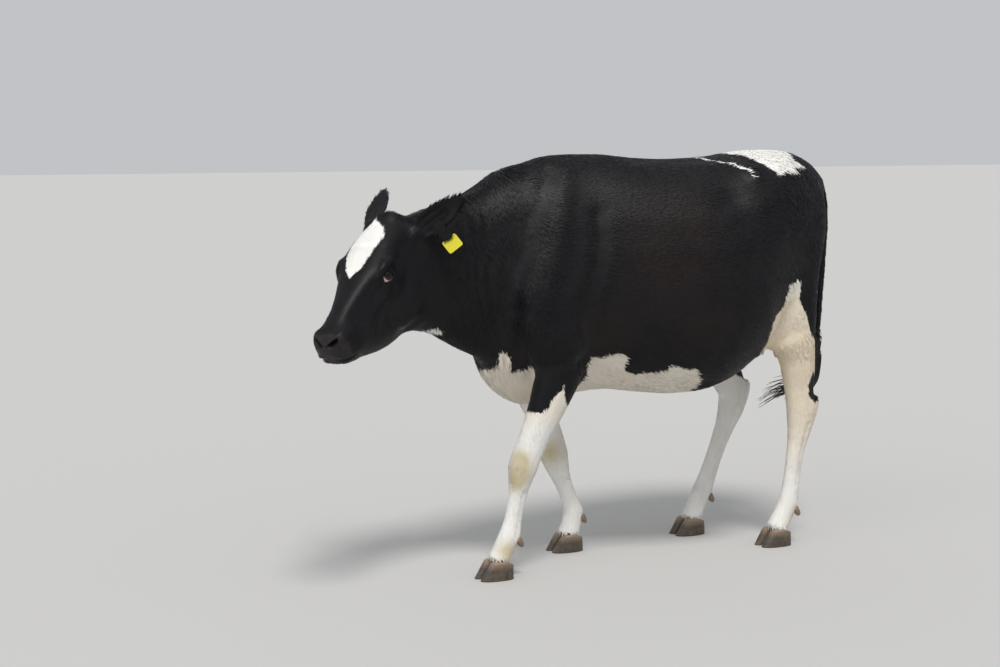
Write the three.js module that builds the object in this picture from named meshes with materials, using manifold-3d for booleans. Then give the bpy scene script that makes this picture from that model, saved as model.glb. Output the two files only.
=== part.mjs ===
// A black-and-white dairy cow, life size, as a still museum model in a walking stance.
// Millimetres. While it is built, x = 0 lies midway between withers and hips on the midline, +X runs to the
// tail, -Y is the cow's left side, +Z is up and the soles stand on z = 0. The finished group is then shifted
// so that its origin is the centre of its bounding box on the floor.
import * as THREE from 'three';
import { mergeVertices } from 'three/addons/utils/BufferGeometryUtils.js';
import Module from 'manifold-3d';

const wasm = await Module();
wasm.setup();

// ---- Driving dimensions ----
const WITHERS = 1486; // height of the withers over the floor
const GAP = 0.4; // width of the cut between pieces of one limb
const CLEARANCE = 0.8; // distance kept from a neighbour's surface
const HEAD_LENGTH = 575; // poll to the front of the muzzle
const HEAD_YAW = 36; // degrees the head turns to the cow's left
const HEAD_ROLL = 3; // degrees its left side is lifted
const HEAD_PITCH = 39.5; // degrees the face slopes down from the horizontal
const POLL = [-1106, -98, 1279]; // top of the head between the ears
const EYE_RADIUS = 20;
const EAR_LENGTH = 235;
const SOLE_TO_CORONET = 66; // height of a claw
const CORONET = SOLE_TO_CORONET - 8; // height where a leg's path ends, inside the claws' tops
const TAG_SIZE = [56, 48, 2.6]; // ear tag plate: width, height, thickness

const LEFT = -1;
const RIGHT = 1;

// ---- Solids ----
const rad = THREE.MathUtils.degToRad;
const vec = (p) => new THREE.Vector3(...p);

// Value at t of the Catmull-Rom curve through evenly spaced values; t counts in values.
function along(values, t) {
  const i = Math.min(Math.floor(t), values.length - 2);
  const u = t - i;
  const at = (k) => values[Math.max(0, Math.min(values.length - 1, k))];
  const m0 = (at(i + 1) - at(i - 1)) / 2;
  const m1 = (at(i + 2) - at(i)) / 2;
  const u2 = u * u;
  const u3 = u2 * u;
  return (2 * u3 - 3 * u2 + 1) * at(i) + (u3 - 2 * u2 + u) * m0
    + (3 * u2 - 2 * u3) * at(i + 1) + (u3 - u2) * m1;
}

// A superellipse's coordinate: cosine or sine c bent by exponent n, where 2 is round and 3 is squarer.
const bent = (c, n) => Math.sign(c) * Math.abs(c) ** (2 / n);

// Closed tube through sections. A section is { at, side, up, down, crest, keel, egg }: its centre, its half
// width, its reach along and against the tube's up direction, the exponents of its upper and lower halves, and
// how much wider its upper half is than its lower. `up` is the direction that "up" leans to, `across` an
// optional fixed normal of every section, `round` the lengths of the domed ends, and grow adds to every radius.
function tube(sections, { rings, around, up = [0, 0, 1], across, round = [0, 0], grow = 0 }) {
  const last = sections.length - 1;
  const read = (key, fallback) => sections.map((s) => (s[key] === undefined ? fallback : s[key]));
  const columns = {
    x: sections.map((s) => s.at[0]),
    y: sections.map((s) => s.at[1]),
    z: sections.map((s) => s.at[2]),
    side: read('side'),
    up: read('up'),
    down: read('down'),
    crest: read('crest', 2),
    keel: read('keel', 2),
    egg: read('egg', 0),
  };
  const value = (key, t) => along(columns[key], t);
  const point = (t) => new THREE.Vector3(value('x', t), value('y', t), value('z', t));
  const positions = [];
  const ring = (t, reach, shrink) => {
    const ahead = point(Math.min(t + 0.01, last));
    const tangent = across ? vec(across) : ahead.sub(point(Math.max(t - 0.01, 0))).normalize();
    const sideways = new THREE.Vector3().crossVectors(vec(up), tangent).normalize();
    const upwards = new THREE.Vector3().crossVectors(tangent, sideways);
    const centre = point(t).addScaledVector(tangent, reach);
    for (let k = 0; k < around; k += 1) {
      const turn = (2 * Math.PI * k) / around;
      const high = Math.sin(turn) >= 0;
      const n = value(high ? 'crest' : 'keel', t);
      const c = bent(Math.cos(turn), n);
      const s = bent(Math.sin(turn), n);
      const width = (value('side', t) * (1 + value('egg', t) * s) + grow) * c * shrink;
      const height = (value(high ? 'up' : 'down', t) + grow) * s * shrink;
      const p = centre.clone().addScaledVector(sideways, width).addScaledVector(upwards, height);
      positions.push(p.x, p.y, p.z);
    }
  };
  const DOME = 2; // rings in a domed end
  const domed = (end) => {
    for (let k = 1; k <= DOME; k += 1) {
      const lift = (Math.PI / 2) * ((end ? k : DOME + 1 - k) / (DOME + 1));
      const reach = (round[end] + grow) * Math.sin(lift) * (end ? 1 : -1);
      ring(end ? last : 0, reach, Math.cos(lift));
    }
  };
  if (round[0]) domed(0);
  for (let i = 0; i <= rings; i += 1) {
    const flat = grow * ((i === 0 && !round[0]) ? -1 : (i === rings && !round[1]) ? 1 : 0);
    ring((last * i) / rings, flat, 1);
  }
  if (round[1]) domed(1);
  const count = positions.length / 3 / around;
  const pole = (end) => {
    const t = end ? last : 0;
    const tip = point(t);
    const next = across ? vec(across) : point(Math.min(t + 0.01, last)).sub(point(Math.max(t - 0.01, 0)));
    tip.addScaledVector(next.normalize(), (round[end] + grow) * (end ? 1 : -1));
    positions.push(tip.x, tip.y, tip.z);
    return positions.length / 3 - 1;
  };
  const head = pole(0);
  const tail = pole(1);
  const index = [];
  for (let k = 0; k < around; k += 1) {
    const n = (k + 1) % around;
    index.push(head, n, k);
    for (let i = 0; i < count - 1; i += 1) {
      const a = i * around;
      const b = a + around;
      index.push(a + k, a + n, b + n, a + k, b + n, b + k);
    }
    const e = (count - 1) * around;
    index.push(tail, e + k, e + n);
  }
  const geometry = new THREE.BufferGeometry();
  geometry.setAttribute('position', new THREE.Float32BufferAttribute(positions, 3));
  geometry.setIndex(index);
  return solidOf(geometry);
}

// A closed geometry as a manifold solid, with its faces turned outwards.
function solidOf(geometry) {
  const bare = geometry.clone();
  bare.deleteAttribute('normal');
  bare.deleteAttribute('uv');
  const merged = mergeVertices(bare, 1e-3);
  const vertProperties = new Float32Array(merged.attributes.position.array);
  const triVerts = new Uint32Array(merged.index.array);
  const make = () => new wasm.Manifold(new wasm.Mesh({ numProp: 3, vertProperties, triVerts }));
  let made = make();
  if (made.volume() < 0) {
    for (let i = 0; i < triVerts.length; i += 3) {
      [triVerts[i + 1], triVerts[i + 2]] = [triVerts[i + 2], triVerts[i + 1]];
    }
    made = make();
  }
  return made;
}

const join = (parts) => parts.reduce((a, b) => a.add(b));
const cut = (part, tools) => tools.reduce((a, b) => a.subtract(b), part);
const largest = (part) => part.decompose().reduce((a, b) => (a.volume() > b.volume() ? a : b));

function ellipsoid(centre, radii, basis = new THREE.Matrix4(), grow = 0, [around, high] = [10, 6]) {
  const geometry = new THREE.SphereGeometry(1, around, high);
  geometry.scale(...radii.map((r) => r + grow));
  geometry.applyMatrix4(basis);
  geometry.translate(...centre);
  return solidOf(geometry);
}

function box(size, matrix) {
  const geometry = new THREE.BoxGeometry(...size);
  geometry.applyMatrix4(matrix);
  return solidOf(geometry);
}

const group = new THREE.Group();

function addNode(name, solid, material) {
  const mesh = solid.getMesh();
  const stride = mesh.numProp;
  const position = new Float32Array(mesh.numVert * 3);
  for (let i = 0; i < mesh.numVert; i += 1) {
    position.set(mesh.vertProperties.subarray(i * stride, i * stride + 3), i * 3);
  }
  const geometry = new THREE.BufferGeometry();
  geometry.setAttribute('position', new THREE.BufferAttribute(position, 3));
  geometry.setIndex(new THREE.BufferAttribute(new Uint32Array(mesh.triVerts), 1));
  geometry.computeVertexNormals();
  const node = new THREE.Mesh(geometry, material);
  node.name = name;
  group.add(node);
}

// ---- Materials ----
const finish = (color, roughness) => new THREE.MeshStandardMaterial({ color, roughness, metalness: 0 });
const BLACK_COAT = finish(0x17161a, 0.55);
const WHITE_COAT = finish(0xe9e1d2, 0.75);
const NOSE = finish(0x2a2526, 0.35);
const EYE = finish(0x120c0a, 0.08);
const HORN = finish(0x6f6452, 0.5);
const UDDER = finish(0xd9b8a4, 0.7);
const HAIR = finish(0x2a211c, 0.7);
const TAG = finish(0xf2e21e, 0.45);

// ---- Trunk ----
// Cross-sections from chest to rump: x, height of the axis that the section is measured from, top, bottom,
// half width, exponent above, exponent below, egg.
const TRUNK = [
  [-668, 1000, 1250, 655, 165, 2.0, 2.0, 0.0],
  [-590, 1000, 1416, 588, 205, 1.9, 1.8, 0.1],
  [-490, 1000, 1472, 570, 232, 1.8, 1.8, 0.1],
  [-400, 1000, WITHERS, 598, 255, 1.75, 1.9, 0.05],
  [-220, 1000, WITHERS, 620, 308, 1.9, 2.1, 0.0],
  [-30, 1000, 1466, 592, 358, 2.1, 2.2, -0.05],
  [160, 1000, 1467, 586, 378, 2.3, 2.2, -0.05],
  [310, 1000, 1477, 640, 352, 2.6, 2.2, 0.0],
  [430, 1010, 1493, 730, 300, 3.0, 2.2, 0.1],
  [550, 1050, 1494, 830, 256, 2.8, 2.2, 0.1],
  [640, 1110, 1470, 920, 200, 2.5, 2.2, 0.1],
  [698, 1200, 1440, 1030, 136, 2.3, 2.2, 0.1],
  [732, 1260, 1406, 1120, 80, 2.2, 2.2, 0.1],
];
const trunkSections = TRUNK.map(([x, axis, top, bottom, side, crest, keel, egg]) => (
  { at: [x, 0, axis], side, up: top - axis, down: axis - bottom, crest, keel, egg }
));

// Shoulder blade and upper arm: x, y, z, reach forward, reach back, half thickness.
const SHOULDER = [
  [-405, 78, 1385, 85, 90, 34],
  [-445, 132, 1250, 115, 110, 58],
  [-500, 166, 1090, 135, 120, 72],
  [-530, 182, 940, 138, 130, 80],
  [-498, 190, 800, 112, 112, 76],
];
// Thigh, from the hip down to the stifle.
const THIGH = [
  [565, 132, 1335, 125, 118, 80],
  [548, 160, 1200, 170, 128, 100],
  [530, 170, 1060, 172, 105, 104],
  [520, 176, 930, 155, 105, 98],
  [534, 178, 830, 120, 90, 80],
];
const limbSections = (rows, side) => rows.map(([x, y, z, up, down, half, crest, keel]) => (
  { at: [x, side * y, z], up, down, side: half, crest, keel }
));
const FORWARD = [-1, 0, 0];

function trunkSolid(grow) {
  const parts = [tube(trunkSections, { rings: 18, around: 22, across: [1, 0, 0], round: [45, 24], grow })];
  [LEFT, RIGHT].forEach((side) => {
    const limb = { around: 12, up: FORWARD, grow };
    parts.push(tube(limbSections(SHOULDER, side), { ...limb, rings: 6, round: [45, 70] }));
    parts.push(tube(limbSections(THIGH, side), { ...limb, rings: 6, round: [60, 60] }));
  });
  return join(parts);
}

// ---- Neck ----
// Centre, half width, reach up, reach down, exponents above and below.
const NECK = [
  [[-430, 0, 1080], 190, 382, 380, 1.8, 2.0],
  [[-610, -6, 1062], 165, 378, 340, 1.9, 2.0],
  [[-760, -24, 1064], 128, 304, 284, 2.0, 2.0],
  [[-900, -56, 1080], 106, 244, 222, 2.1, 2.0],
  [[-1020, -90, 1094], 94, 194, 222, 2.2, 2.1],
];
const neckSections = NECK.map(([at, side, up, down, crest, keel]) => ({ at, side, up, down, crest, keel }));
const neckSolid = (grow) => tube(neckSections, { rings: 8, around: 18, round: [0, 40], grow });

// ---- Head ----
// The head's own frame: l runs from the poll to the muzzle, f out of the forehead, w to the head's left.
const heading = new THREE.Vector3(-Math.cos(rad(HEAD_YAW)), -Math.sin(rad(HEAD_YAW)), 0);
const levelLeft = new THREE.Vector3(-heading.y, heading.x, 0);
const skyward = new THREE.Vector3(0, 0, 1);
const nosewards = heading.clone().multiplyScalar(Math.cos(rad(HEAD_PITCH)))
  .addScaledVector(skyward, -Math.sin(rad(HEAD_PITCH)));
const levelBrow = heading.clone().multiplyScalar(Math.sin(rad(HEAD_PITCH)))
  .addScaledVector(skyward, Math.cos(rad(HEAD_PITCH)));
const toLeft = levelLeft.clone().multiplyScalar(Math.cos(rad(HEAD_ROLL)))
  .addScaledVector(levelBrow, Math.sin(rad(HEAD_ROLL)));
const browwards = levelBrow.clone().multiplyScalar(Math.cos(rad(HEAD_ROLL)))
  .addScaledVector(levelLeft, -Math.sin(rad(HEAD_ROLL)));
const headBasis = new THREE.Matrix4().makeBasis(nosewards, toLeft, browwards);
const L = HEAD_LENGTH / 575; // scale of the head's lengths
const inHead = (l, f, w) => vec(POLL)
  .addScaledVector(nosewards, l * L).addScaledVector(browwards, f * L).addScaledVector(toLeft, w * L);

const FACE_AXIS = -110; // f of the axis that the head's sections are measured from
// l, top, bottom, half width, exponent above, exponent below, egg.
const HEAD = [
  [-20, -10, -235, 72, 2.2, 2.0, 0.05],
  [50, 8, -300, 84, 2.5, 2.0, 0.12],
  [125, 14, -346, 93, 2.7, 2.0, 0.16],
  [200, 8, -364, 96, 2.8, 2.0, 0.2],
  [275, -4, -345, 83, 2.6, 2.0, 0.14],
  [350, -15, -308, 68, 2.4, 2.1, 0.05],
  [420, -25, -258, 59, 2.3, 2.2, -0.04],
  [475, -32, -214, 63, 2.4, 2.4, 0.0],
  [520, -38, -184, 68, 2.6, 2.5, 0.06],
  [546, -48, -164, 62, 2.6, 2.5, 0.06],
];
const headSections = HEAD.map(([l, top, bottom, side, crest, keel, egg]) => ({
  at: inHead(l, FACE_AXIS, 0).toArray(),
  side: side * L,
  up: (top - FACE_AXIS) * L,
  down: (FACE_AXIS - bottom) * L,
  crest,
  keel,
  egg,
}));
const EYE_AT = [224, -61, 82]; // l, f, w of an eye's centre
const MUZZLE_AT = 462; // l where the muzzle begins

function headSolid(grow) {
  const parts = [tube(headSections, {
    rings: 12, around: 18, up: browwards.toArray(), across: nosewards.toArray(), round: [55, 22], grow,
  })];
  const lump = (l, f, w, radii) => {
    parts.push(ellipsoid(inHead(l, f, w).toArray(), radii.map((r) => r * L), headBasis, grow));
  };
  [1, -1].forEach((w) => {
    lump(208, -36, w * 80, [52, 26, 26]); // brow
    lump(205, -225, w * 56, [100, 36, 88]); // cheek
    lump(512, -78, w * 38, [40, 32, 42]); // nostril pad
  });
  lump(2, -14, 0, [40, 56, 30]); // poll
  return join(parts);
}

function eyeSolid(side, grow) {
  const [l, f, w] = EYE_AT;
  return ellipsoid(inHead(l, f, side * w).toArray(), [EYE_RADIUS, EYE_RADIUS, EYE_RADIUS], headBasis, grow, [12, 8]);
}

// Ear: a cupped leaf that points out, back and up. Rows are share of length, half width and half thickness.
// Each ear's root in the head's frame, and its direction as shares to its own side, backwards and out of the
// forehead; `face` is what its broad side looks along, as shares to the nose, out of the forehead and sideways.
const EARS = {
  left: { root: [30, -86, 70], aim: [0.65, 0.6, 0.2], face: [0.55, 0.5, 0.5] },
  right: { root: [20, -48, -74], aim: [-0.2, 0.85, -0.05], face: [0.75, 0.45, 0.1] },
};
const EAR = [
  [0, 30, 17],
  [0.2, 40, 13],
  [0.42, 50, 9],
  [0.64, 47, 7],
  [0.84, 32, 5.5],
  [0.97, 14, 4],
];
const inHeadFrame = (l, f, w) => nosewards.clone().multiplyScalar(l).addScaledVector(browwards, f)
  .addScaledVector(toLeft, w).normalize();
const earAxis = ({ aim: [out, back, brow] }) => inHeadFrame(-back, brow, out);
const earFace = ({ face: [nose, brow, out] }) => inHeadFrame(nose, brow, out);
function earSolid(ear, grow) {
  const root = inHead(...ear.root);
  const sections = EAR.map(([share, half, thick]) => ({
    at: root.clone().addScaledVector(earAxis(ear), share * EAR_LENGTH).toArray(),
    side: half,
    up: thick,
    down: thick * 1.4,
  }));
  return tube(sections, { rings: 8, around: 10, up: earFace(ear).toArray(), round: [25, 6], grow });
}

// ---- Legs ----
// Reach forward, reach back and half width, from the elbow or stifle to the coronet. The right hind leg is
// swung forward, and shows more of its stifle.
const LEG_SIZES = {
  fore: [[95, 100, 68], [78, 80, 62], [64, 62, 54], [58, 56, 50], [62, 54, 53], [50, 45, 45], [37, 40, 34],
    [33, 38, 29], [34, 40, 30], [42, 46, 38], [40, 38, 40], [49, 42, 49]],
  hind: [[108, 108, 72], [84, 78, 60], [76, 68, 54], [68, 58, 46], [68, 58, 46], [58, 62, 42], [40, 50, 34],
    [34, 42, 29], [34, 41, 29], [42, 47, 38], [40, 38, 40], [49, 42, 49]],
  hind_right: [[112, 114, 74], [102, 98, 66], [94, 84, 58], [78, 66, 50], [68, 60, 46], [58, 62, 42], [40, 50, 34],
    [34, 42, 29], [34, 41, 29], [42, 47, 38], [40, 38, 40], [49, 42, 49]],
};
// x, y, z of the same places.
const LEG_PATHS = {
  fore_left: [[-478, 192, 745], [-512, 188, 640], [-556, 182, 535], [-590, 176, 455], [-612, 172, 392],
    [-625, 171, 345], [-636, 170, 300], [-648, 169, 245], [-658, 168, 195], [-668, 168, 148], [-690, 168, 105],
    [-708, 168, CORONET]],
  fore_right: [[-452, 182, 745], [-418, 165, 640], [-380, 145, 535], [-350, 130, 440], [-330, 120, 368],
    [-318, 116, 318], [-304, 114, 272], [-286, 112, 225], [-270, 111, 182], [-256, 110, 142], [-264, 110, 102],
    [-273, 110, CORONET]],
  hind_left: [[520, 185, 800], [548, 178, 725], [562, 173, 655], [570, 170, 585], [580, 168, 520],
    [574, 167, 462], [560, 167, 400], [546, 167, 320], [534, 167, 230], [520, 167, 148], [496, 167, 103],
    [477, 167, CORONET]],
  hind_right: [[360, 190, 815], [400, 180, 735], [438, 170, 660], [468, 163, 600], [488, 158, 545],
    [474, 155, 485], [446, 153, 420], [410, 152, 335], [374, 151, 245], [340, 150, 160], [314, 150, 106],
    [295, 150, CORONET]],
};
const UPPER_END = 4.6; // where the shank begins, counted in sections
const LOWER_END = 8.5; // where the pastern begins

function legSections(name) {
  const side = name.endsWith('left') ? LEFT : RIGHT;
  const sizes = LEG_SIZES[name] ?? LEG_SIZES[name.slice(0, 4)];
  return LEG_PATHS[name].map(([x, y, z], i) => (
    { at: [x, side * y, z], up: sizes[i][0], down: sizes[i][1], side: sizes[i][2] }
  ));
}

// A thin slab square to a tube's path at place t, counted in sections, to part the tube there.
function slabAcross(sections, t, size) {
  const place = (k) => new THREE.Vector3(...[0, 1, 2].map((axis) => along(sections.map((s) => s.at[axis]), k)));
  const middle = place(t);
  const tangent = place(t + 0.05).sub(place(t - 0.05)).normalize();
  const turn = new THREE.Quaternion().setFromUnitVectors(new THREE.Vector3(0, 0, 1), tangent);
  const matrix = new THREE.Matrix4().compose(middle, turn, new THREE.Vector3(1, 1, 1));
  return box([size, size, GAP], matrix);
}

// Point of the hock: a stub that rises behind the hock joint.
const HOCK_JOINT = 4.3;
function hockStub(name) {
  const side = name.endsWith('left') ? LEFT : RIGHT;
  const [x, y, z] = [0, 1, 2].map((axis) => along(LEG_PATHS[name].map((p) => p[axis]), HOCK_JOINT));
  const sections = [
    { at: [x + 8, side * y, z - 70], up: 30, down: 34, side: 26 },
    { at: [x + 38, side * y, z - 20], up: 32, down: 30, side: 26 },
    { at: [x + 58, side * y, z + 28], up: 30, down: 24, side: 25 },
    { at: [x + 60, side * y, z + 52], up: 24, down: 20, side: 21 },
  ];
  return tube(sections, { rings: 4, around: 8, up: FORWARD, round: [10, 16] });
}

// ---- Feet ----
const CLAW_OFFSET = 27; // from the foot's middle to a claw's middle
const CLAW = { top: [40, 42, 22.5], sole: [66, 52, 25] }; // reach forward, reach back, half width
function clawSolid(name, which) {
  const side = name.endsWith('left') ? LEFT : RIGHT;
  const [x, y] = LEG_PATHS[name].at(-1);
  const middle = side * (y + which * CLAW_OFFSET);
  const at = (share) => [x - 18 * share, middle, (SOLE_TO_CORONET - GAP) * (1 - share)];
  const sections = [0, 0.5, 1].map((share) => {
    const size = CLAW.top.map((v, i) => v + (CLAW.sole[i] - v) * share);
    return { at: at(share), up: size[0], down: size[1], side: size[2], crest: 2.1, keel: 2.6 };
  });
  return tube(sections, { rings: 2, around: 12, up: FORWARD, across: [0, 0, -1] });
}

function dewclawSolid(name, which) {
  const side = name.endsWith('left') ? LEFT : RIGHT;
  const [x, y, z] = LEG_PATHS[name].at(-3);
  const sections = [
    { at: [x + 30, side * (y + which * 20), z - 12], up: 14, down: 14, side: 13 },
    { at: [x + 52, side * (y + which * 22), z - 34], up: 13, down: 13, side: 13 },
    { at: [x + 58, side * (y + which * 22), z - 50], up: 8, down: 8, side: 9 },
  ];
  return tube(sections, { rings: 2, around: 6, up: FORWARD, round: [6, 4] });
}

// ---- Tail ----
// Hangs from the croup behind the left thigh; its switch, the last part, swings forward between the hocks.
const TAIL = [
  { at: [655, 0, 1424], up: 26, down: 32, side: 38 },
  { at: [728, -4, 1392], up: 26, down: 30, side: 32 },
  { at: [765, -10, 1325], up: 26, down: 26, side: 27 },
  { at: [776, -18, 1225], up: 23, down: 23, side: 23 },
  { at: [764, -28, 1070], up: 20, down: 20, side: 20 },
  { at: [750, -36, 900], up: 17, down: 17, side: 17 },
  { at: [738, -40, 740], up: 15, down: 15, side: 15 },
  { at: [728, -44, 660], up: 22, down: 22, side: 20 },
  { at: [704, -48, 592], up: 30, down: 28, side: 24 },
  { at: [655, -50, 550], up: 34, down: 34, side: 26 },
  { at: [585, -46, 528], up: 36, down: 36, side: 24 },
  { at: [520, -38, 510], up: 30, down: 34, side: 20 },
  { at: [468, -30, 480], up: 12, down: 18, side: 9 },
];
const SWITCH_START = 6; // where the switch begins, counted in sections
const tailSolid = () => tube(TAIL, { rings: 19, around: 8, up: [-1, 0, 0.35], round: [10, 10] });

// ---- Udder ----
function udderSolid(grow) {
  const sections = [
    { at: [455, 0, 805], up: 50, down: 32, side: 50 },
    { at: [500, 0, 792], up: 90, down: 55, side: 76 },
    { at: [550, 0, 788], up: 100, down: 82, side: 88 },
    { at: [598, 0, 812], up: 100, down: 108, side: 80 },
    { at: [632, 0, 872], up: 62, down: 62, side: 58 },
  ];
  return tube(sections, { rings: 7, around: 14, round: [30, 30], grow });
}
const TEATS = { left_front: [545, -40], right_front: [545, 40], left_rear: [598, -36], right_rear: [598, 36] };
function teatSolid([x, y]) {
  const sections = [
    { at: [x, y, 745], up: 14, down: 14, side: 14 },
    { at: [x, y * 1.04, 702], up: 12, down: 12, side: 12 },
    { at: [x, y * 1.06, 668], up: 9, down: 9, side: 9 },
  ];
  return tube(sections, { rings: 3, around: 8, up: FORWARD, round: [4, 6] });
}

// ---- Ear tag ----
// A plate with a short neck that hangs from the left ear's lower edge, and the round stud that pins it there.
const TAG_AT = 0.47; // share of the ear's length where it is pinned
const STUD_DROP = 42; // distance of the stud from the ear's middle line
const STUD = [9, 5]; // radius and thickness
const NECK_SIZE = [20, 36]; // width and length of the plate's neck
const TAG_OFF = 14; // distance of the plate from the ear's middle surface

// The tag's frame: its origin at the stud, x along the ear, y up against its hang, z off the ear's broad side.
function tagFrame() {
  const axis = earAxis(EARS.left);
  const down = new THREE.Vector3().crossVectors(earFace(EARS.left), axis).normalize();
  if (down.z > 0) down.negate();
  const off = new THREE.Vector3().crossVectors(axis, down).normalize();
  if (off.dot(earFace(EARS.left)) < 0) off.negate();
  const centre = inHead(...EARS.left.root).addScaledVector(axis, TAG_AT * EAR_LENGTH)
    .addScaledVector(down, STUD_DROP).addScaledVector(off, TAG_OFF);
  const right = new THREE.Vector3().crossVectors(down.clone().negate(), off);
  return new THREE.Matrix4().makeBasis(right, down.clone().negate(), off).setPosition(centre);
}

function tagPlate() {
  const [w, h, t] = TAG_SIZE;
  const [neck, drop] = NECK_SIZE;
  const r = 7;
  const top = -drop;
  const shape = new THREE.Shape();
  shape.moveTo(-w / 2 + r, top - h);
  shape.lineTo(w / 2 - r, top - h);
  shape.absarc(w / 2 - r, top - h + r, r, -Math.PI / 2, 0, false);
  shape.lineTo(w / 2, top - r);
  shape.absarc(w / 2 - r, top - r, r, 0, Math.PI / 2, false);
  shape.lineTo(neck / 2, top);
  shape.lineTo(neck / 2, 0);
  shape.absarc(0, 0, neck / 2, 0, Math.PI, false);
  shape.lineTo(-neck / 2, top);
  shape.lineTo(-w / 2 + r, top);
  shape.absarc(-w / 2 + r, top - r, r, Math.PI / 2, Math.PI, false);
  shape.lineTo(-w / 2, top - h + r);
  shape.absarc(-w / 2 + r, top - h + r, r, Math.PI, 1.5 * Math.PI, false);
  const plate = new THREE.ExtrudeGeometry(shape, { depth: t, bevelEnabled: false, curveSegments: 4 });
  plate.applyMatrix4(tagFrame());
  return solidOf(plate);
}

function tagStud() {
  const [radius, thickness] = STUD;
  const stud = new THREE.CylinderGeometry(radius * 0.8, radius, thickness, 14);
  stud.rotateX(Math.PI / 2);
  stud.translate(0, 0, TAG_SIZE[2] + GAP + thickness / 2);
  stud.applyMatrix4(tagFrame());
  return solidOf(stud);
}

// ---- Assembly ----
const trunk = trunkSolid(0);
const trunkGrown = trunkSolid(CLEARANCE);
const head = headSolid(0);
const headGrown = headSolid(CLEARANCE);

// A thin slab square to the face at length l parts the muzzle from the head.
const slabAt = inHead(MUZZLE_AT, FACE_AXIS, 0);
const slab = box([GAP, 400, 400], headBasis.clone().setPosition(slabAt));
const eyesGrown = [1, -1].map((side) => eyeSolid(side, GAP));
const headPieces = cut(head, [slab, ...eyesGrown]).decompose().sort((a, b) => b.volume() - a.volume());
addNode('head', headPieces[0], BLACK_COAT);
addNode('muzzle', headPieces[1], NOSE);
[['eye_left', 1], ['eye_right', -1]].forEach(([name, side]) => addNode(name, eyeSolid(side, 0), EYE));
const neck = largest(cut(neckSolid(0), [trunkGrown, headGrown]));
addNode('neck', neck, BLACK_COAT);
const neckGrown = neckSolid(CLEARANCE);
Object.entries(EARS).forEach(([name, ear]) => {
  addNode(`ear_${name}`, largest(cut(earSolid(ear, 0), [headGrown, neckGrown])), BLACK_COAT);
});
addNode('ear_tag_plate', largest(cut(tagPlate(), [earSolid(EARS.left, CLEARANCE)])), TAG);
addNode('ear_tag_stud', tagStud(), TAG);

const below = new THREE.Matrix4().makeTranslation(0, 0, SOLE_TO_CORONET - 50);
const ground = box([3000, 1500, 100], below);
Object.keys(LEG_PATHS).forEach((name) => {
  const sections = legSections(name);
  const hind = name.startsWith('hind');
  const whole = [tube(sections, { around: 12, up: FORWARD, rings: 16, round: [20, 0] })];
  if (hind) whole.push(hockStub(name));
  const slabs = [slabAcross(sections, UPPER_END, 320), slabAcross(sections, LOWER_END, 200), ground];
  const pieces = cut(join(whole), [trunkGrown, ...slabs]).decompose()
    .filter((piece) => piece.volume() > 1e5)
    .sort((a, b) => b.boundingBox().max[2] - a.boundingBox().max[2]);
  const names = [hind ? 'gaskin' : 'forearm', 'shank', 'pastern'];
  names.forEach((label, i) => addNode(`${name}_${label}`, pieces[i], WHITE_COAT));
  const foot = join(pieces);
  [['inner', -1], ['outer', 1]].forEach(([label, which]) => {
    addNode(`${name}_claw_${label}`, clawSolid(name, which), HORN);
    addNode(`${name}_dewclaw_${label}`, largest(cut(dewclawSolid(name, which), [foot])), HORN);
  });
});

const udder = largest(cut(udderSolid(0), [trunkGrown]));
addNode('udder', udder, UDDER);
const udderGrown = udderSolid(CLEARANCE);
Object.entries(TEATS).forEach(([name, place]) => {
  addNode(`teat_${name}`, largest(cut(teatSolid(place), [udderGrown])), UDDER);
});
const tailPieces = cut(tailSolid(), [trunkGrown, slabAcross(TAIL, SWITCH_START, 80)]).decompose()
  .filter((piece) => piece.volume() > 1e5)
  .sort((a, b) => b.boundingBox().max[2] - a.boundingBox().max[2]);
addNode('tail', tailPieces[0], BLACK_COAT);
addNode('tail_switch', tailPieces[1], HAIR);
addNode('trunk', trunk, BLACK_COAT);

// The group's origin becomes the centre of its bounding box on the floor.
const bounds = new THREE.Box3().setFromObject(group);
const middle = bounds.getCenter(new THREE.Vector3());
group.children.forEach((node) => node.geometry.translate(-middle.x, -middle.y, -bounds.min.z));

export default group;
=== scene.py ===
"""A black-and-white dairy cow in a walking stance, life size, as a still museum model.

Metres, in the frame of the CAD part: the head is at -X, the cow's left side at -Y, the floor at z = 0.
One skin is grown from all the nodes of flesh and then sculpted. Tufts of hair lie along it, and skin and
tufts read the same markings. Eyes, lids, hooves, dewclaws and the tail's switch are pieces of their own, and
the ear tag keeps its CAD shape.
"""
import bpy
import numpy as np
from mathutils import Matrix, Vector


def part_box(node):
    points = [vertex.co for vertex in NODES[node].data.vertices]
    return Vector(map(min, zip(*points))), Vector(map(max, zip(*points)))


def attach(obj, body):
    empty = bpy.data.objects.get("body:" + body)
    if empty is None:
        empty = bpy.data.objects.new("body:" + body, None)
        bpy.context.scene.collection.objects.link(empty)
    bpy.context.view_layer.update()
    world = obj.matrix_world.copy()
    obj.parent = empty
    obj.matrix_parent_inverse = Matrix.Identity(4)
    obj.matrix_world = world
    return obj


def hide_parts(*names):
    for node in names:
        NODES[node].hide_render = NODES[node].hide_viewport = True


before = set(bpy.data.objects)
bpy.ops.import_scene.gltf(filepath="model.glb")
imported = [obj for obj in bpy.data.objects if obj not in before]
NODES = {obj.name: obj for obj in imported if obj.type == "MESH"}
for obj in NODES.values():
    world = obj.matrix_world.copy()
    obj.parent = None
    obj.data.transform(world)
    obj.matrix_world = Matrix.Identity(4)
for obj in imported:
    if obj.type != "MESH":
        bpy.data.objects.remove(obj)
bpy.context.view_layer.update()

# ---- Driving values ----
VOXEL = 0.0055  # grain of the shell that joins the nodes of flesh
SWELL = 0.0008  # how far each node is swollen, so that the cuts between neighbours close
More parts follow.
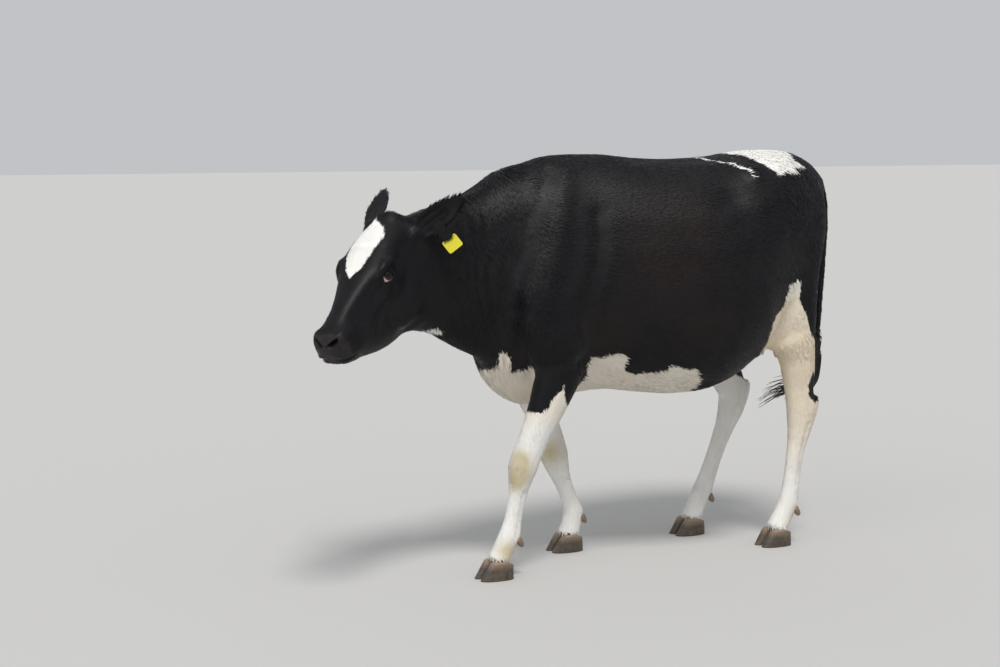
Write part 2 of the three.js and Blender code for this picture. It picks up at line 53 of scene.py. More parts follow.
COAT_DEPTH = 0.003  # how far the skin lies inside the solids
SHELL_ROUNDS = 56  # rounds of smoothing of the shell
SKIN_SHARE = 0.235  # share of the shell's faces that is kept outside the head
PATCH = 0.003  # side of a tuft's patch in its bake map
UP = np.array([0.0, 0.0, 1.0])


# ---- Small tools ----
def step(low, high, x):
    """Smooth step: 0 below low, 1 above high, 3t^2 - 2t^3 between. low may be the larger."""
    t = np.clip((x - low) / (high - low), 0.0, 1.0)
    return t * t * (3.0 - 2.0 * t)


def unit(v):
    """Vectors scaled to length 1."""
    return v / np.maximum(np.linalg.norm(v, axis=-1, keepdims=True), 1e-12)


def node_centre(name):
    """Middle of a node's box."""
    low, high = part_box(name)
    return (np.array(low) + np.array(high)) / 2


def turns(count):
    """Angles spread evenly round a circle."""
    return np.linspace(0, 2 * np.pi, count, endpoint=False)


def laid(lie, normals, share=1.0):
    """Directions laid into the surface: the given share of what they have along the normal is taken off."""
    return unit(lie - normals * (lie * normals).sum(1, keepdims=True) * share)


def nearest_on(points, path):
    """Distance from each point to a polyline, and the nearest place on it, counted in corners."""
    path = np.asarray(path, float)
    best = np.full(len(points), 1e9)
    place = np.zeros(len(points))
    for i, (a, b) in enumerate(zip(path[:-1], path[1:])):
        d = b - a
        t = np.clip((points - a) @ d / (d @ d), 0.0, 1.0)
        gap = np.linalg.norm(points - a - t[:, None] * d, axis=1)
        nearer = gap < best
        best = np.where(nearer, gap, best)
        place = np.where(nearer, i + t, place)
    return best, place


def inside(points, outline):
    """Signed distance to a closed outline in a plane, positive inside, by the even-odd rule."""
    outline = np.asarray(outline, float)
    ring = np.vstack([outline, outline[:1]])
    gap, _ = nearest_on(points, ring)
    odd = np.zeros(len(points), bool)
    for (x0, y0), (x1, y1) in zip(ring[:-1], ring[1:]):
        if y0 == y1:
            continue
        crosses = (points[:, 1] < y0) != (points[:, 1] < y1)
        odd ^= crosses & (points[:, 0] < x0 + (points[:, 1] - y0) * (x1 - x0) / (y1 - y0))
    return np.where(odd, gap, -gap)


def curve_through(points, count):
    """Catmull-Rom curve through the points, sampled evenly in its parameter."""
    p = np.asarray(points, float)
    p = np.vstack([2 * p[0] - p[1], p, 2 * p[-1] - p[-2]])
    t = np.linspace(0, len(p) - 3 - 1e-9, count)
    i = t.astype(int)
    u = (t - i)[:, None]
    a, b, c, d = p[i], p[i + 1], p[i + 2], p[i + 3]
    return 0.5 * (2 * b + (c - a) * u + (2 * a - 5 * b + 4 * c - d) * u**2 + (3 * b - a - 3 * c + d) * u**3)


def ripple(points, scale, seed):
    """Smooth noise of about unit size: a sum of sines along seeded directions, with waves 1 / scale long."""
    rng = np.random.default_rng(seed)
    total = np.zeros(len(points))
    for _ in range(8):
        direction = unit(rng.normal(size=3)) * scale * rng.uniform(0.6, 1.6)
        total += np.sin(2 * np.pi * points @ direction + rng.uniform(0, 6.28))
    return total / 2.6


# ---- Meshes ----
def new_mesh(name, verts, tris):
    """A smooth-shaded mesh from arrays of points and triangles."""
    mesh = bpy.data.meshes.new(name)
    mesh.vertices.add(len(verts))
    mesh.vertices.foreach_set("co", np.asarray(verts, np.float32).ravel())
    mesh.loops.add(tris.size)
    mesh.loops.foreach_set("vertex_index", np.asarray(tris, np.int32).ravel())
    mesh.polygons.add(len(tris))
    mesh.polygons.foreach_set("loop_start", np.arange(0, tris.size, 3, dtype=np.int32))
    mesh.polygons.foreach_set("use_smooth", np.ones(len(tris), bool))
    mesh.update(calc_edges=True)
    return mesh


def new_object(name, verts, tris):
    """The same as an object of the scene."""
    obj = bpy.data.objects.new(name, new_mesh(name, verts, tris))
    bpy.context.scene.collection.objects.link(obj)
    return obj


def piece(name, verts, tris, material, replaces=(), values=None):
    """A finished piece: its mesh, material, the body it rides on, and what nodes it stands for."""
    obj = new_object(name, verts, tris)
    obj.data.materials.append(material)
    for key, value in (values or {}).items():
        attribute = obj.data.attributes.new(key, "FLOAT", "POINT")
        attribute.data.foreach_set("value", np.asarray(value, np.float32))
    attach(obj, "root")
    if replaces:
        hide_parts(*replaces)
    return obj


def mesh_arrays(mesh):
    """Points and triangles of a mesh, with the points that coincide merged."""
    co = np.zeros(len(mesh.vertices) * 3, np.float32)
    mesh.vertices.foreach_get("co", co)
    mesh.calc_loop_triangles()
    tris = np.zeros(len(mesh.loop_triangles) * 3, np.int32)
    mesh.loop_triangles.foreach_get("vertices", tris)
    steps = np.round(co.reshape(-1, 3) * 5e5).astype(np.int64) + 2**20
    keys = (steps[:, 0] << 42) + (steps[:, 1] << 21) + steps[:, 2]
    _, first, back = np.unique(keys, return_index=True, return_inverse=True)
    tris = back[tris].reshape(-1, 3)
    whole = (tris[:, 0] != tris[:, 1]) & (tris[:, 1] != tris[:, 2]) & (tris[:, 2] != tris[:, 0])
    return co.reshape(-1, 3)[first].astype(float), tris[whole]


def normals_of(verts, tris):
    """Vertex normals, weighted by the area of the triangles round them."""
    face = np.cross(verts[tris[:, 1]] - verts[tris[:, 0]], verts[tris[:, 2]] - verts[tris[:, 0]])
    total = np.zeros_like(verts)
    for axis in range(3):
        total[:, axis] = np.bincount(
            tris.ravel(), np.repeat(face[:, axis], 3), minlength=len(verts))
    return unit(total)


def edges_of(tris):
    """Each edge once, as a pair of points, and the edge that every side 01, 12 and 20 of the triangles is."""
    pairs = np.sort(np.vstack([tris[:, [0, 1]], tris[:, [1, 2]], tris[:, [2, 0]]]), axis=1).astype(np.int64)
    base = int(pairs.max()) + 1
    keys, back = np.unique(pairs[:, 0] * base + pairs[:, 1], return_inverse=True)
    return np.stack([keys // base, keys % base], axis=1), back


def smoothed(verts, tris, share, rounds):
    """Each round moves a point by share of the way to the mean of its neighbours."""
    pairs, _ = edges_of(tris)
    both = np.vstack([pairs, pairs[:, ::-1]])
    order = np.argsort(both[:, 0], kind="stable")
    start, other = both[order, 0], both[order, 1]
    first = np.searchsorted(start, np.arange(len(verts)))
    count = np.bincount(start, minlength=len(verts))[:, None]
    share = np.broadcast_to(share, (len(verts),)).astype(np.float32)[:, None]
    count = count.astype(np.float32)
    moved = verts.astype(np.float32)
    for _ in range(rounds):
        mean = np.add.reduceat(moved[other], first, axis=0) / count
        moved += share * (mean - moved)
    return moved.astype(float)


def refined(verts, tris, chosen):
    """Halves every edge whose two ends are chosen.

    A triangle with 1, 2 or 3 halved edges becomes 2, 3 or 4.
    """
    edges, back = edges_of(tris)
    cut = chosen[edges].all(axis=1)
    middle = np.full(len(edges), -1)
    middle[cut] = len(verts) + np.arange(cut.sum())
    verts = np.vstack([verts, verts[edges[cut]].mean(axis=1)])
    mids = middle[back.ravel()].reshape(3, -1).T
    halved = (mids >= 0).sum(axis=1)
    out = [tris[halved == 0]]
    # Each triangle is turned so that its one halved or one whole edge comes where the split has it.
    splits = (
        (1, lambda m: np.argmax(m >= 0, axis=1)),
        (2, lambda m: np.argmax(m < 0, axis=1) + 1),
    )
    for number, turn_by in splits:
        t, m = tris[halved == number], mids[halved == number]
        if len(t) == 0:
            continue
        index = (turn_by(m)[:, None] + np.arange(3)) % 3
        a, b, c = np.take_along_axis(t, index, 1).T
        p, q, _ = np.take_along_axis(m, index, 1).T
        if number == 1:
            out += [np.stack([a, p, c], 1), np.stack([p, b, c], 1)]
        else:
            out += [np.stack([p, b, q], 1), np.stack([a, p, q], 1), np.stack([a, q, c], 1)]
    a, b, c = tris[halved == 3].T
    p, q, r = mids[halved == 3].T
    out += [np.stack(s, 1) for s in ((a, p, r), (p, b, q), (r, q, c), (p, q, r))]
    return verts, np.vstack(out)


def ring_tris(rings, around):
    """Triangles of a tube of rings, each with points counted round it, wound to face outwards."""
    i, k = np.meshgrid(np.arange(rings - 1), np.arange(around), indexing="ij")
    a = (i * around + k).ravel()
    b = (i * around + (k + 1) % around).ravel()
    return np.vstack([np.stack([a, b, b + around], 1), np.stack([a, b + around, a + around], 1)])


def closed_tube(points):
    """A closed tube from a (rings, around, 3) array, with a pole at the middle of its first and last ring."""
    rings, around, _ = points.shape
    verts = np.vstack([points.reshape(-1, 3), points[0].mean(0), points[-1].mean(0)])
    k = np.arange(around)
    n = (k + 1) % around
    first, last = np.full(around, rings * around), np.full(around, rings * around + 1)
    end = (rings - 1) * around
    caps = [np.stack([first, n, k], 1), np.stack([last, end + k, end + n], 1)]
    return verts, np.vstack([ring_tris(rings, around)] + caps)


# ---- Head frame ----
# l runs from the poll to the nose, f towards the brow and w to the cow's left, all from the poll.
HEAD_YAW, HEAD_PITCH, HEAD_ROLL = np.radians([36.0, 39.5, 3.0])
EYE_AT = (0.224, -0.061, 0.082)
HEADING = -np.array([np.cos(HEAD_YAW), np.sin(HEAD_YAW), 0.0])
NOSEWARDS = HEADING * np.cos(HEAD_PITCH) - UP * np.sin(HEAD_PITCH)
LEVEL_BROW = HEADING * np.sin(HEAD_PITCH) + UP * np.cos(HEAD_PITCH)
LEVEL_LEFT = np.array([np.sin(HEAD_YAW), -np.cos(HEAD_YAW), 0.0])
LEFTWARDS = LEVEL_LEFT * np.cos(HEAD_ROLL) + LEVEL_BROW * np.sin(HEAD_ROLL)
BROWWARDS = LEVEL_BROW * np.cos(HEAD_ROLL) - LEVEL_LEFT * np.sin(HEAD_ROLL)
BETWEEN_EYES = (node_centre("eye_left") + node_centre("eye_right")) / 2
POLL = BETWEEN_EYES - NOSEWARDS * EYE_AT[0] - BROWWARDS * EYE_AT[1]
HEAD_AXES = np.stack([NOSEWARDS, BROWWARDS, LEFTWARDS])


def in_head(points):
    """Points or rows of points given as l, f, w, in the frame of the part."""
    return POLL + np.asarray(points, float) @ HEAD_AXES


def to_head(co):
    """The reverse: points in the frame of the part, as l, f, w."""
    return (co - POLL) @ HEAD_AXES.T


def folded(h):
    """Points as l, f, w, with the head's right half laid on its left."""
    return np.column_stack([h[:, :2], np.abs(h[:, 2])])


def side_name(out):
    """left or right, for the sign that mirrors what is given for the head's left."""
    return "left" if out > 0 else "right"


# ---- Lines of the body ----
# Each limb's middle line from the elbow or stifle to the coronet.
LEGS = {
    "fore_left": [(-.158, -.192, .745), (-.27, -.176, .455), (-.316, -.170, .30), (-.348, -.168, .148),
                  (-.387, -.168, .06)],
    "fore_right": [(-.13, .182, .745), (-.03, .13, .44), (.017, .114, .272), (.064, .110, .142),
                   (.048, .110, .06)],
    "hind_left": [(.84, -.185, .80), (.89, -.17, .585), (.894, -.167, .462), (.854, -.167, .23),
                  (.84, -.167, .148), (.798, -.167, .06)],
    "hind_right": [(.68, .19, .815), (.788, .163, .60), (.794, .155, .485), (.695, .151, .245),
                   (.66, .15, .16), (.616, .15, .06)],
}
TAIL = [(1.0485, -.004, 1.392), (1.0855, -.010, 1.325), (1.0965, -.018, 1.225), (1.0845, -.028, 1.07),
        (1.0705, -.036, .90), (1.0585, -.04, .74)]
EAR_LENGTH = 0.235
# Where each ear grows, where its tip points and where its hollow faces, as l, f, w. In the aim, w is
# outwards.
EAR_ROOT = {"left": (.030, -.086, .070), "right": (.020, -.048, -.074)}
EAR_AIM = {"left": (-.6, .2, .65), "right": (-.85, -.05, .2)}
EAR_FACE = {"left": (.55, .5, .5), "right": (.75, .45, -.1)}


def ear_axes(side):
    """The ear's root, its direction to the tip, the way its hollow faces, and its third direction."""
    out = 1 if side == "left" else -1
    aim = unit(np.array(EAR_AIM[side]) * (1, 1, out)) @ HEAD_AXES
    face = np.array(EAR_FACE[side]) @ HEAD_AXES
    face = unit(face - aim * (face @ aim))
    return in_head(EAR_ROOT[side]), aim, face, np.cross(aim, face)


def leg_masks(co):
    """For each leg, 1 on the limb below elbow or stifle and 0 away from it."""
    masks = {}
    for name, line in LEGS.items():
        gap, _ = nearest_on(co, line)
        masks[name] = step(0.125, 0.095, gap) * step(0.80, 0.66, co[:, 2])
    return masks


def on_legs(co):
    """1 on all four legs, 0 away from them."""
    return np.max(list(leg_masks(co).values()), axis=0)


def ear_mask(co):
    """1 on both ears, 0 away from them."""
    total = np.zeros(len(co))
    for side in EAR_ROOT:
        root, aim, _, _ = ear_axes(side)
        gap, _ = nearest_on(co, [root + aim * 0.03, root + aim * EAR_LENGTH])
        total = np.maximum(total, step(0.075, 0.06, gap) * step(0.02, 0.05, (co - root) @ aim))
    return total


def head_mask(co):
    """1 on the head, 0 behind the poll and below the jaw."""
    l, f, w = to_head(co).T
    return step(-0.03, 0.03, l) * step(-0.40, -0.34, f) * step(0.22, 0.18, np.abs(w))


def tail_mask(co):
    """1 on the tail, 0 ahead of it."""
    return step(1.02, 1.05, co[:, 0]) * step(0.10, 0.07, np.abs(co[:, 1]))


TEAT_TOP = 0.735  # height below which the teats are shortened
TEAT_SHARE = 0.55  # how much of the node's length below it the teats keep


def udder_mask(co):
    """1 on the udder and the teats, 0 away from them."""
    x, y, z = co.T
    return step(0.76, 0.79, x) * step(0.985, 0.965, x) * step(0.108, 0.092, np.abs(y)) * step(0.86, 0.80, z)


# ---- Skin ----
NOT_FLESH = ("claw", "eye_", "ear_tag", "tail_switch")
FLESH = sorted(n for n in NODES if not any(word in n for word in NOT_FLESH))


def flesh():
    """Points and triangles of all nodes of flesh, each point moved out by SWELL along its normal."""
    verts, tris, start = [], [], 0
    for name in FLESH:
        v, t = mesh_arrays(NODES[name].data)
        verts.append(v + normals_of(v, t) * SWELL)
        tris.append(t + start)
        start += len(v)
    return np.vstack(verts), np.vstack(tris)


def with_modifier(verts, tris, kind, **settings):
    """The mesh that one modifier makes of the points and triangles; a weight of each point may steer it."""
    weights = settings.pop("weights", None)
    obj = new_object("rough", verts, tris)
    if weights is not None:
        group = obj.vertex_groups.new(name="keep")
        levels = np.round(weights * 10).astype(int)
        for level in np.unique(levels):
            group.add(np.flatnonzero(levels == level).tolist(), float(level) / 10, "REPLACE")
    modifier = obj.modifiers.new("make", kind)
    for key, value in settings.items():
        setattr(modifier, key, value)
    made = bpy.data.meshes.new_from_object(obj.evaluated_get(bpy.context.evaluated_depsgraph_get()))
    result = mesh_arrays(made)
    mesh = obj.data
    bpy.data.objects.remove(obj)
    bpy.data.meshes.remove(mesh)
    bpy.data.meshes.remove(made)
    return result


def without_crumbs(verts, tris):
    """Keeps the largest connected part: labels spread along the edges until nothing changes."""
    pairs, _ = edges_of(tris)
    label = np.arange(len(verts))
    while True:
        low = np.minimum(label[pairs[:, 0]], label[pairs[:, 1]])
        new = label.copy()
        np.minimum.at(new, pairs[:, 0], low)
        np.minimum.at(new, pairs[:, 1], low)
        new = new[new]
        if (new == label).all():
            break
        label = new
    kept = label == np.bincount(label).argmax()
    number = np.cumsum(kept) - 1
    return verts[kept], number[tris[kept[tris[:, 0]]]]


def softness(co):
    """Share of a full smoothing step: most on the trunk, little on legs and head, least on ears and teats."""
    l, f, _ = to_head(co).T
    jaw = 1 - 0.9 * step(.20, .13, l) * step(-.06, -.12, f)
    regions = (
        (head_mask(co) * jaw, 0.10 + 0.16 * step(.50, .42, l)),
        (on_legs(co), 0.09),
        (tail_mask(co), 0.05),
        (udder_mask(co), 0.3),
        (udder_mask(co) * step(0.722, 0.70, co[:, 2]), 0.03),
        (ear_mask(co), 0.02),
    )
    share = np.full(len(co), 0.8)
    for mask, value in regions:
        share = share * (1 - mask) + value * mask
    return share


# Ridges and grooves along lines on the body: corners of the line, width, height. Each has its mirror image.
BODY_FORMS = [
    ([(-.024, -.214, 1.27), (-.025, -.240, 1.20), (-.043, -.258, 1.11), (-.075, -.26, 1.01),
      (-.092, -.25, .90)], .030, -.0100),  # behind the shoulder blade and the upper arm
    # its spine
    ([(-.10, -.12, 1.43), (-.14, -.18, 1.30), (-.19, -.225, 1.12), (-.23, -.235, .98)], .040, .006),
    # its front
    ([(-.16, -.10, 1.42), (-.26, -.16, 1.25), (-.31, -.185, 1.08), (-.32, -.18, .95)], .034, -.009),
    ([(-.13, -.26, .95), (-.12, -.26, .90)], .070, .010),  # triceps
    ([(-.105, -.25, .80), (-.10, -.25, .78)], .035, .012),  # elbow
    ([(.20, -.13, 1.46), (.40, -.14, 1.452), (.58, -.165, 1.44)], .018, .007),  # edge of the loin
    ([(.20, -.07, 1.472), (.45, -.075, 1.466), (.60, -.09, 1.466)], .028, -.006),  # hollow beside the spine
    ([(.625, -.215, 1.40), (.65, -.205, 1.405)], .034, .018),  # hook bone
    ([(.50, -.27, 1.31), (.53, -.27, 1.26)], .075, -.019),  # hollow of the flank
    ([(.78, -.20, 1.36), (.88, -.17, 1.33)], .060, -.010),  # between hook and pin
    ([(1.0, -.075, 1.37), (1.02, -.07, 1.36)], .030, .012),  # pin bone
    # fold of the flank
    ([(.56, -.315, 1.05), (.60, -.31, .95), (.635, -.29, .85), (.62, -.25, .76)], .026, .013),
    ([(.655, -.31, 1.02), (.675, -.30, .93), (.69, -.28, .84)], .020, -.010),  # groove behind the fold
    ([(.93, -.19, 1.28), (.955, -.21, 1.10), (.94, -.23, .92)], .018, -.007),  # between the thigh's muscles
    # vein
    ([(.0, -.17, .605), (.10, -.15, .59), (.2, -.17, .585), (.3, -.15, .59), (.42, -.14, .61)], .009, .006),
    ([(-.352, -.10, .76), (-.352, -.09, .70), (-.31, -.07, .63)], .007, .007),  # folds of the brisket
    ([(-.325, -.125, .77), (-.325, -.115, .70), (-.285, -.085, .63)], .008, .008),
    ([(-.338, -.115, .77), (-.338, -.10, .70), (-.298, -.078, .63)], .006, -.006),
    ([(.93, -.16, .70), (.915, -.20, .62), (.925, -.19, .56)], .014, -.006),  # in front of the hock's tendon
]
MOUTH_LINE = [(.583, -.118, 0), (.572, -.122, .026), (.555, -.130, .046), (.525, -.145, .058),
              (.485, -.165, .062), (.455, -.178, .064)]
# The same on the head, as l, f, w.
FACE_FORMS = [
    ([(.255, -.105, .090), (.31, -.110, .080), (.37, -.120, .068)], .020, .0045),  # crest of the face
    ([(.30, -.070, .072), (.36, -.072, .062), (.42, -.075, .056)], .018, -.006),  # hollow over it
    ([(.24, -.030, .062), (.34, -.030, .047), (.44, -.038, .036)], .020, .0018),  # edge of the nose bone
    # brow
    ([(.180, -.040, .088), (.205, -.026, .088), (.235, -.028, .086), (.262, -.046, .082)], .010, .006),
    ([(.12, -.065, .085), (.15, -.075, .088)], .028, -.008),  # temple
    ([(.275, -.070, .080), (.30, -.080, .076), (.335, -.10, .070)], .006, -.0045),  # tear groove
    ([(.215, -.122, .096), (.26, -.112, .088), (.29, -.098, .080)], .007, -.003),  # fold under the lower lid
    ([(.27, -.120, .086), (.31, -.15, .078), (.32, -.19, .074), (.30, -.235, .074)], .0045, .003),  # vein
    ([(.33, -.10, .068), (.38, -.135, .063), (.42, -.165, .062)], .008, .004),  # folds before the cheek
    ([(.30, -.14, .076), (.345, -.17, .069), (.38, -.20, .066)], .009, -.005),
    # front of the chewing muscle
    ([(.255, -.31, .055), (.285, -.26, .068), (.295, -.20, .073)], .016, -.006),
    ([(.040, -.085, .088), (.075, -.13, .094), (.110, -.175, .096), (.150, -.22, .095), (.19, -.265, .088)],
     .034, .015),  # from the cheek into the neck
    ([(.10, -.30, .082), (.17, -.325, .085), (.24, -.33, .075)], .020, .005),  # angle of the jaw
    (MOUTH_LINE, .0038, -.0055),  # line of the mouth
    ([(.575, -.108, .02), (.556, -.118, .045), (.52, -.134, .062), (.48, -.153, .066), (.44, -.172, .068)],
     .008, .004),  # upper lip
    ([(.566, -.136, .02), (.548, -.146, .042), (.515, -.16, .054), (.475, -.18, .060), (.43, -.20, .064)],
     .008, .003),  # lower lip
    ([(.51, -.178, .0), (.49, -.19, .02)], .022, .003),  # chin
    ([(.580, -.060, 0), (.584, -.085, 0), (.580, -.112, 0)], .005, -.0015),  # between the nostrils
]


def raised(co, normals, forms, mirror):
    """Lifts the points along their normals by height * exp(-(distance to the line / width)^2).

    The lift is summed over the forms and their mirror images.
    """
    total = np.zeros(len(co))
    for line, width, height in forms:
        line = np.asarray(line, float)
        for path in (line, line * mirror):
            low, high = path.min(0) - 2.6 * width, path.max(0) + 2.6 * width
            near = np.flatnonzero(((co > low) & (co < high)).all(1))
            gap, _ = nearest_on(co[near], path)
            total[near] += height * np.exp(-(gap / width) ** 2)
    return co + normals * total[:, None]


FOLD_WIDTH = 0.030  # half the length of a wave of the neck's folds
FOLD_HEIGHT = 0.0022


def neck_zone(co):
    """1 on both sides of the neck, fading to 0 at the head, the shoulder, the crest and the throat."""
    x, y, z = co.T
    zone = step(-.60, -.53, x) * step(-.28, -.36, x) * step(1.36, 1.22, z) * step(.76, .88, z)
    return zone * step(0.04, 0.08, np.abs(y))


def neck_folds(co):
    """Soft folds down the neck: a sine wave along the neck that wanders with height and comes and goes."""
    x, _, z = co.T
    wander = 0.10 * (z - 1.05) + 0.030 * ripple(co, 3.0, 5)
    wave = np.sin((x + wander) * np.pi / FOLD_WIDTH + 2.5 * ripple(co, 1.5, 6))
    return wave * np.clip(0.4 + ripple(co, 5.0, 7), 0, 1) * FOLD_HEIGHT * neck_zone(co)


def tendon_grooves(co):
    """Along each shank, a shallow groove on both sides between the bone and the tendon behind it."""
    total = np.zeros(len(co))
    for name, line in LEGS.items():
        line = np.array(line)
        low, high = (-3, -2) if name.startswith("fore") else (-4, -3)
        for side in (-1, 1):
            path = line[[low, high]] + np.array([0.016, 0.030 * side, 0.0])
            gap, _ = nearest_on(co, path)
            total -= 0.004 * np.exp(-(gap / 0.009) ** 2)
    return total


NOSTRIL_AT = (.557, -.063, .034)  # middle of the left one, as l, f, w
NOSTRIL_LONG = unit(np.array([-.49, .33, .81]))  # from its inner lower end to its outer upper end
NOSTRIL_IN = unit(np.array([-.86, -.10, -.30]))
NOSTRIL_SIZE = (.0215, .0098)  # half its length and half its width


def nostrils(hco):
    """Moves points inside an ellipse inwards, deepest at its middle, and lifts a rim round it."""
    moved = hco.copy()
    for sign in (1, -1):
        flip = np.array([1, 1, sign])
        long_way, inwards = NOSTRIL_LONG * flip, NOSTRIL_IN * flip
        inwards = unit(inwards - long_way * (inwards @ long_way))
        short_way = np.cross(long_way, inwards)
        q = hco - np.array(NOSTRIL_AT) * flip
        u, v, depth = q @ long_way, q @ short_way, q @ inwards
        bow = v - 7.0 * u**2 * np.sign(short_way[1])
        r = np.hypot(u / NOSTRIL_SIZE[0], bow / NOSTRIL_SIZE[1])
        near = np.abs(depth) < 0.035
        hole = 0.030 * step(1.05, 0.45, r) * near
        rim = 0.0035 * np.exp(-((r - 1.35) / 0.28) ** 2) * near
        moved += inwards * (hole - rim)[:, None]
    return moved


def hollow_ears(co, normals):
    """Sinks the ear's inner face by up to 55% of its thickness, most along its middle and near its root."""
    moved = co.copy()
    for side in EAR_ROOT:
        root, aim, face, across = ear_axes(side)
        along, off, wide = (co - root) @ aim / EAR_LENGTH, (co - root) @ face, (co - root) @ across
        width = 0.05 * np.sin(np.pi * np.clip(along * 0.85 + 0.12, 0.02, 1))
        depth = 0.011 * step(0.10, 0.28, along) * step(0.97, 0.6, along)
        depth = depth * step(0.95, 0.25, np.abs(wide) / width)
        inner = step(0.1, 0.5, normals @ face) * (np.abs(off) < 0.05) * (np.abs(wide) < 0.07)
        fold = 0.0012 * np.cos(wide * np.pi / 0.012) * step(0.15, 0.35, along) * step(0.8, 0.5, along)
        moved -= face * ((depth + fold * (depth > 0.002)) * inner)[:, None]
    return moved


def skin_arrays():
    """The skin: a shell round the flesh, smoothed, sculpted, thinned away from the head, then the face."""
    verts, tris = with_modifier(*flesh(), "REMESH", mode="VOXEL", voxel_size=VOXEL)
    verts = smoothed(verts, tris, softness(verts), SHELL_ROUNDS)
    normals = normals_of(verts, tris)
    verts = verts - normals * (SWELL + COAT_DEPTH)
    verts = raised(verts, normals, BODY_FORMS, np.array([1, -1, 1]))
    verts = verts + normals_of(verts, tris) * (neck_folds(verts) + tendon_grooves(verts))[:, None]
    hang = np.minimum(verts[:, 2] - TEAT_TOP, 0) * udder_mask(verts)
    verts[:, 2] -= hang * (1 - TEAT_SHARE)
    keep = np.maximum.reduce([head_mask(verts), ear_mask(verts), 0.3 * on_legs(verts), 0.4 * neck_zone(verts),
                              np.full(len(verts), 0.1)])
    verts, tris = with_modifier(verts, tris, "DECIMATE", weights=keep, ratio=SKIN_SHARE, vertex_group="keep",
                                vertex_group_factor=1.0, invert_vertex_group=True)
    verts, tris = without_crumbs(verts, tris)
    return face_details(verts, tris)


def face_details(verts, tris):
    """Two finer rounds of triangles on muzzle and eyes, and the forms of the face, nostrils and ears."""
    h = folded(to_head(verts))
    eyes = np.linalg.norm(h - EYE_AT, axis=1)
    verts, tris = refined(verts, tris, (h[:, 0] > 0.39) & (h[:, 1] > -0.30) | (eyes < 0.05))
    h = folded(to_head(verts))
    mouth, _ = nearest_on(h, MOUTH_LINE)
    hole = np.linalg.norm(h - NOSTRIL_AT, axis=1)
    verts, tris = refined(verts, tris, (mouth < 0.014) | (hole < 0.042))
    verts = smoothed(verts, tris, 0.4 * head_mask(verts) * (1 - ear_mask(verts)), 4)
    h = to_head(verts)
    h = raised(h, to_head(verts + normals_of(verts, tris)) - h, FACE_FORMS, np.array([1, 1, -1]))
    verts = in_head(nostrils(h))
    return hollow_ears(verts, normals_of(verts, tris)), tris


# ---- Markings ----
# Outlines of white, in metres: on the forehead as l, w; on the rump from above as x, y; on each side as x, z.
# STRIPE is the middle line of a narrow one, and HOCK_SPOT is a black spot inside the white.
BLAZE = [(.018, -.030), (.033, -.012), (.047, .004), (.071, .031), (.105, .046), (.149, .044), (.204, .034),
         (.252, .025), (.272, .010), (.299, -.004), (.285, -.020), (.263, -.034), (.21, -.057),
         (.152, -.066), (.10, -.062), (.05, -.050)]
RUMP = [(.655, -.02), (.664, -.07), (.671, -.121), (.681, -.186), (.713, -.220), (.731, -.243),
        (.761, -.230), (.841, -.212), (.822, -.203), (.903, -.168), (.850, -.160), (.882, -.089), (.89, 0),
        (.86, .10), (.81, .14), (.76, .17), (.71, .12), (.67, .05)]
STRIPE = [(.500, .03), (.518, -.035), (.534, -.083), (.549, -.123), (.569, -.160), (.600, -.194),
          (.614, -.242)]
BELLY_LEFT = [(-.42, .60), (-.385, .695), (-.371, .706), (-.358, .725), (-.351, .743), (-.356, .792),
              (-.345, .796), (-.335, .786), (-.325, .77), (-.316, .741), (-.305, .712), (-.286, .722),
              (-.263, .726), (-.25, .69), (-.22, .655), (-.15, .64), (-.06, .64), (-.028, .682),
              (-.039, .732), (-.037, .768), (-.001, .762), (.03, .774), (.068, .777), (.098, .763),
              (.094, .732), (.102, .708), (.145, .693), (.18, .698), (.23, .702), (.265, .725),
              (.306, .715), (.359, .707), (.382, .68), (.412, .654), (.42, .62), (.42, .45), (-.42, .45)]
BELLY_RIGHT = [(-.42, .60), (-.37, .70), (-.33, .76), (-.29, .70), (-.20, .73), (-.10, .71), (-.03, .75),
               (.05, .80), (.11, .78), (.16, .72), (.24, .74), (.31, .70), (.38, .71), (.44, .64),
               (.46, .45), (-.42, .45)]
FORE_LEFT = [(-.50, .605), (-.31, .603), (-.295, .592), (-.279, .585), (-.256, .584), (-.229, .599),
             (-.219, .623), (-.198, .650), (-.180, .663), (-.173, .680), (-.163, .625), (-.14, .60),
             (-.05, .60), (-.05, 0), (-.50, 0)]
FORE_RIGHT = [(-.30, .64), (-.16, .62), (-.12, .66), (-.08, .62), (-.03, .60), (.0, .66), (.2, .70),
              (.2, 0), (-.3, 0)]
HIND_LEFT = [(.795, 1.015), (.778, 1.005), (.747, 1.001), (.735, .955), (.716, .915), (.690, .890),
             (.664, .85), (.668, .81), (.70, .775), (.66, .75), (.55, .60), (.5, .3), (.5, 0), (1.1, 0),
             (1.1, .76), (.925, .775), (.879, .818), (.854, .877), (.826, .916), (.813, .939),
             (.812, 1.007)]
HIND_RIGHT = [(.50, .80), (.62, .82), (.70, .74), (.77, .66), (.785, .63), (.813, .608), (.863, .588),
              (.98, .57), (.98, 0), (.4, 0), (.4, .6)]
HOCK_SPOT = [(.915, .66), (.935, .65), (.965, .60), (.975, .545), (.95, .535), (.903, .567), (.900, .613)]


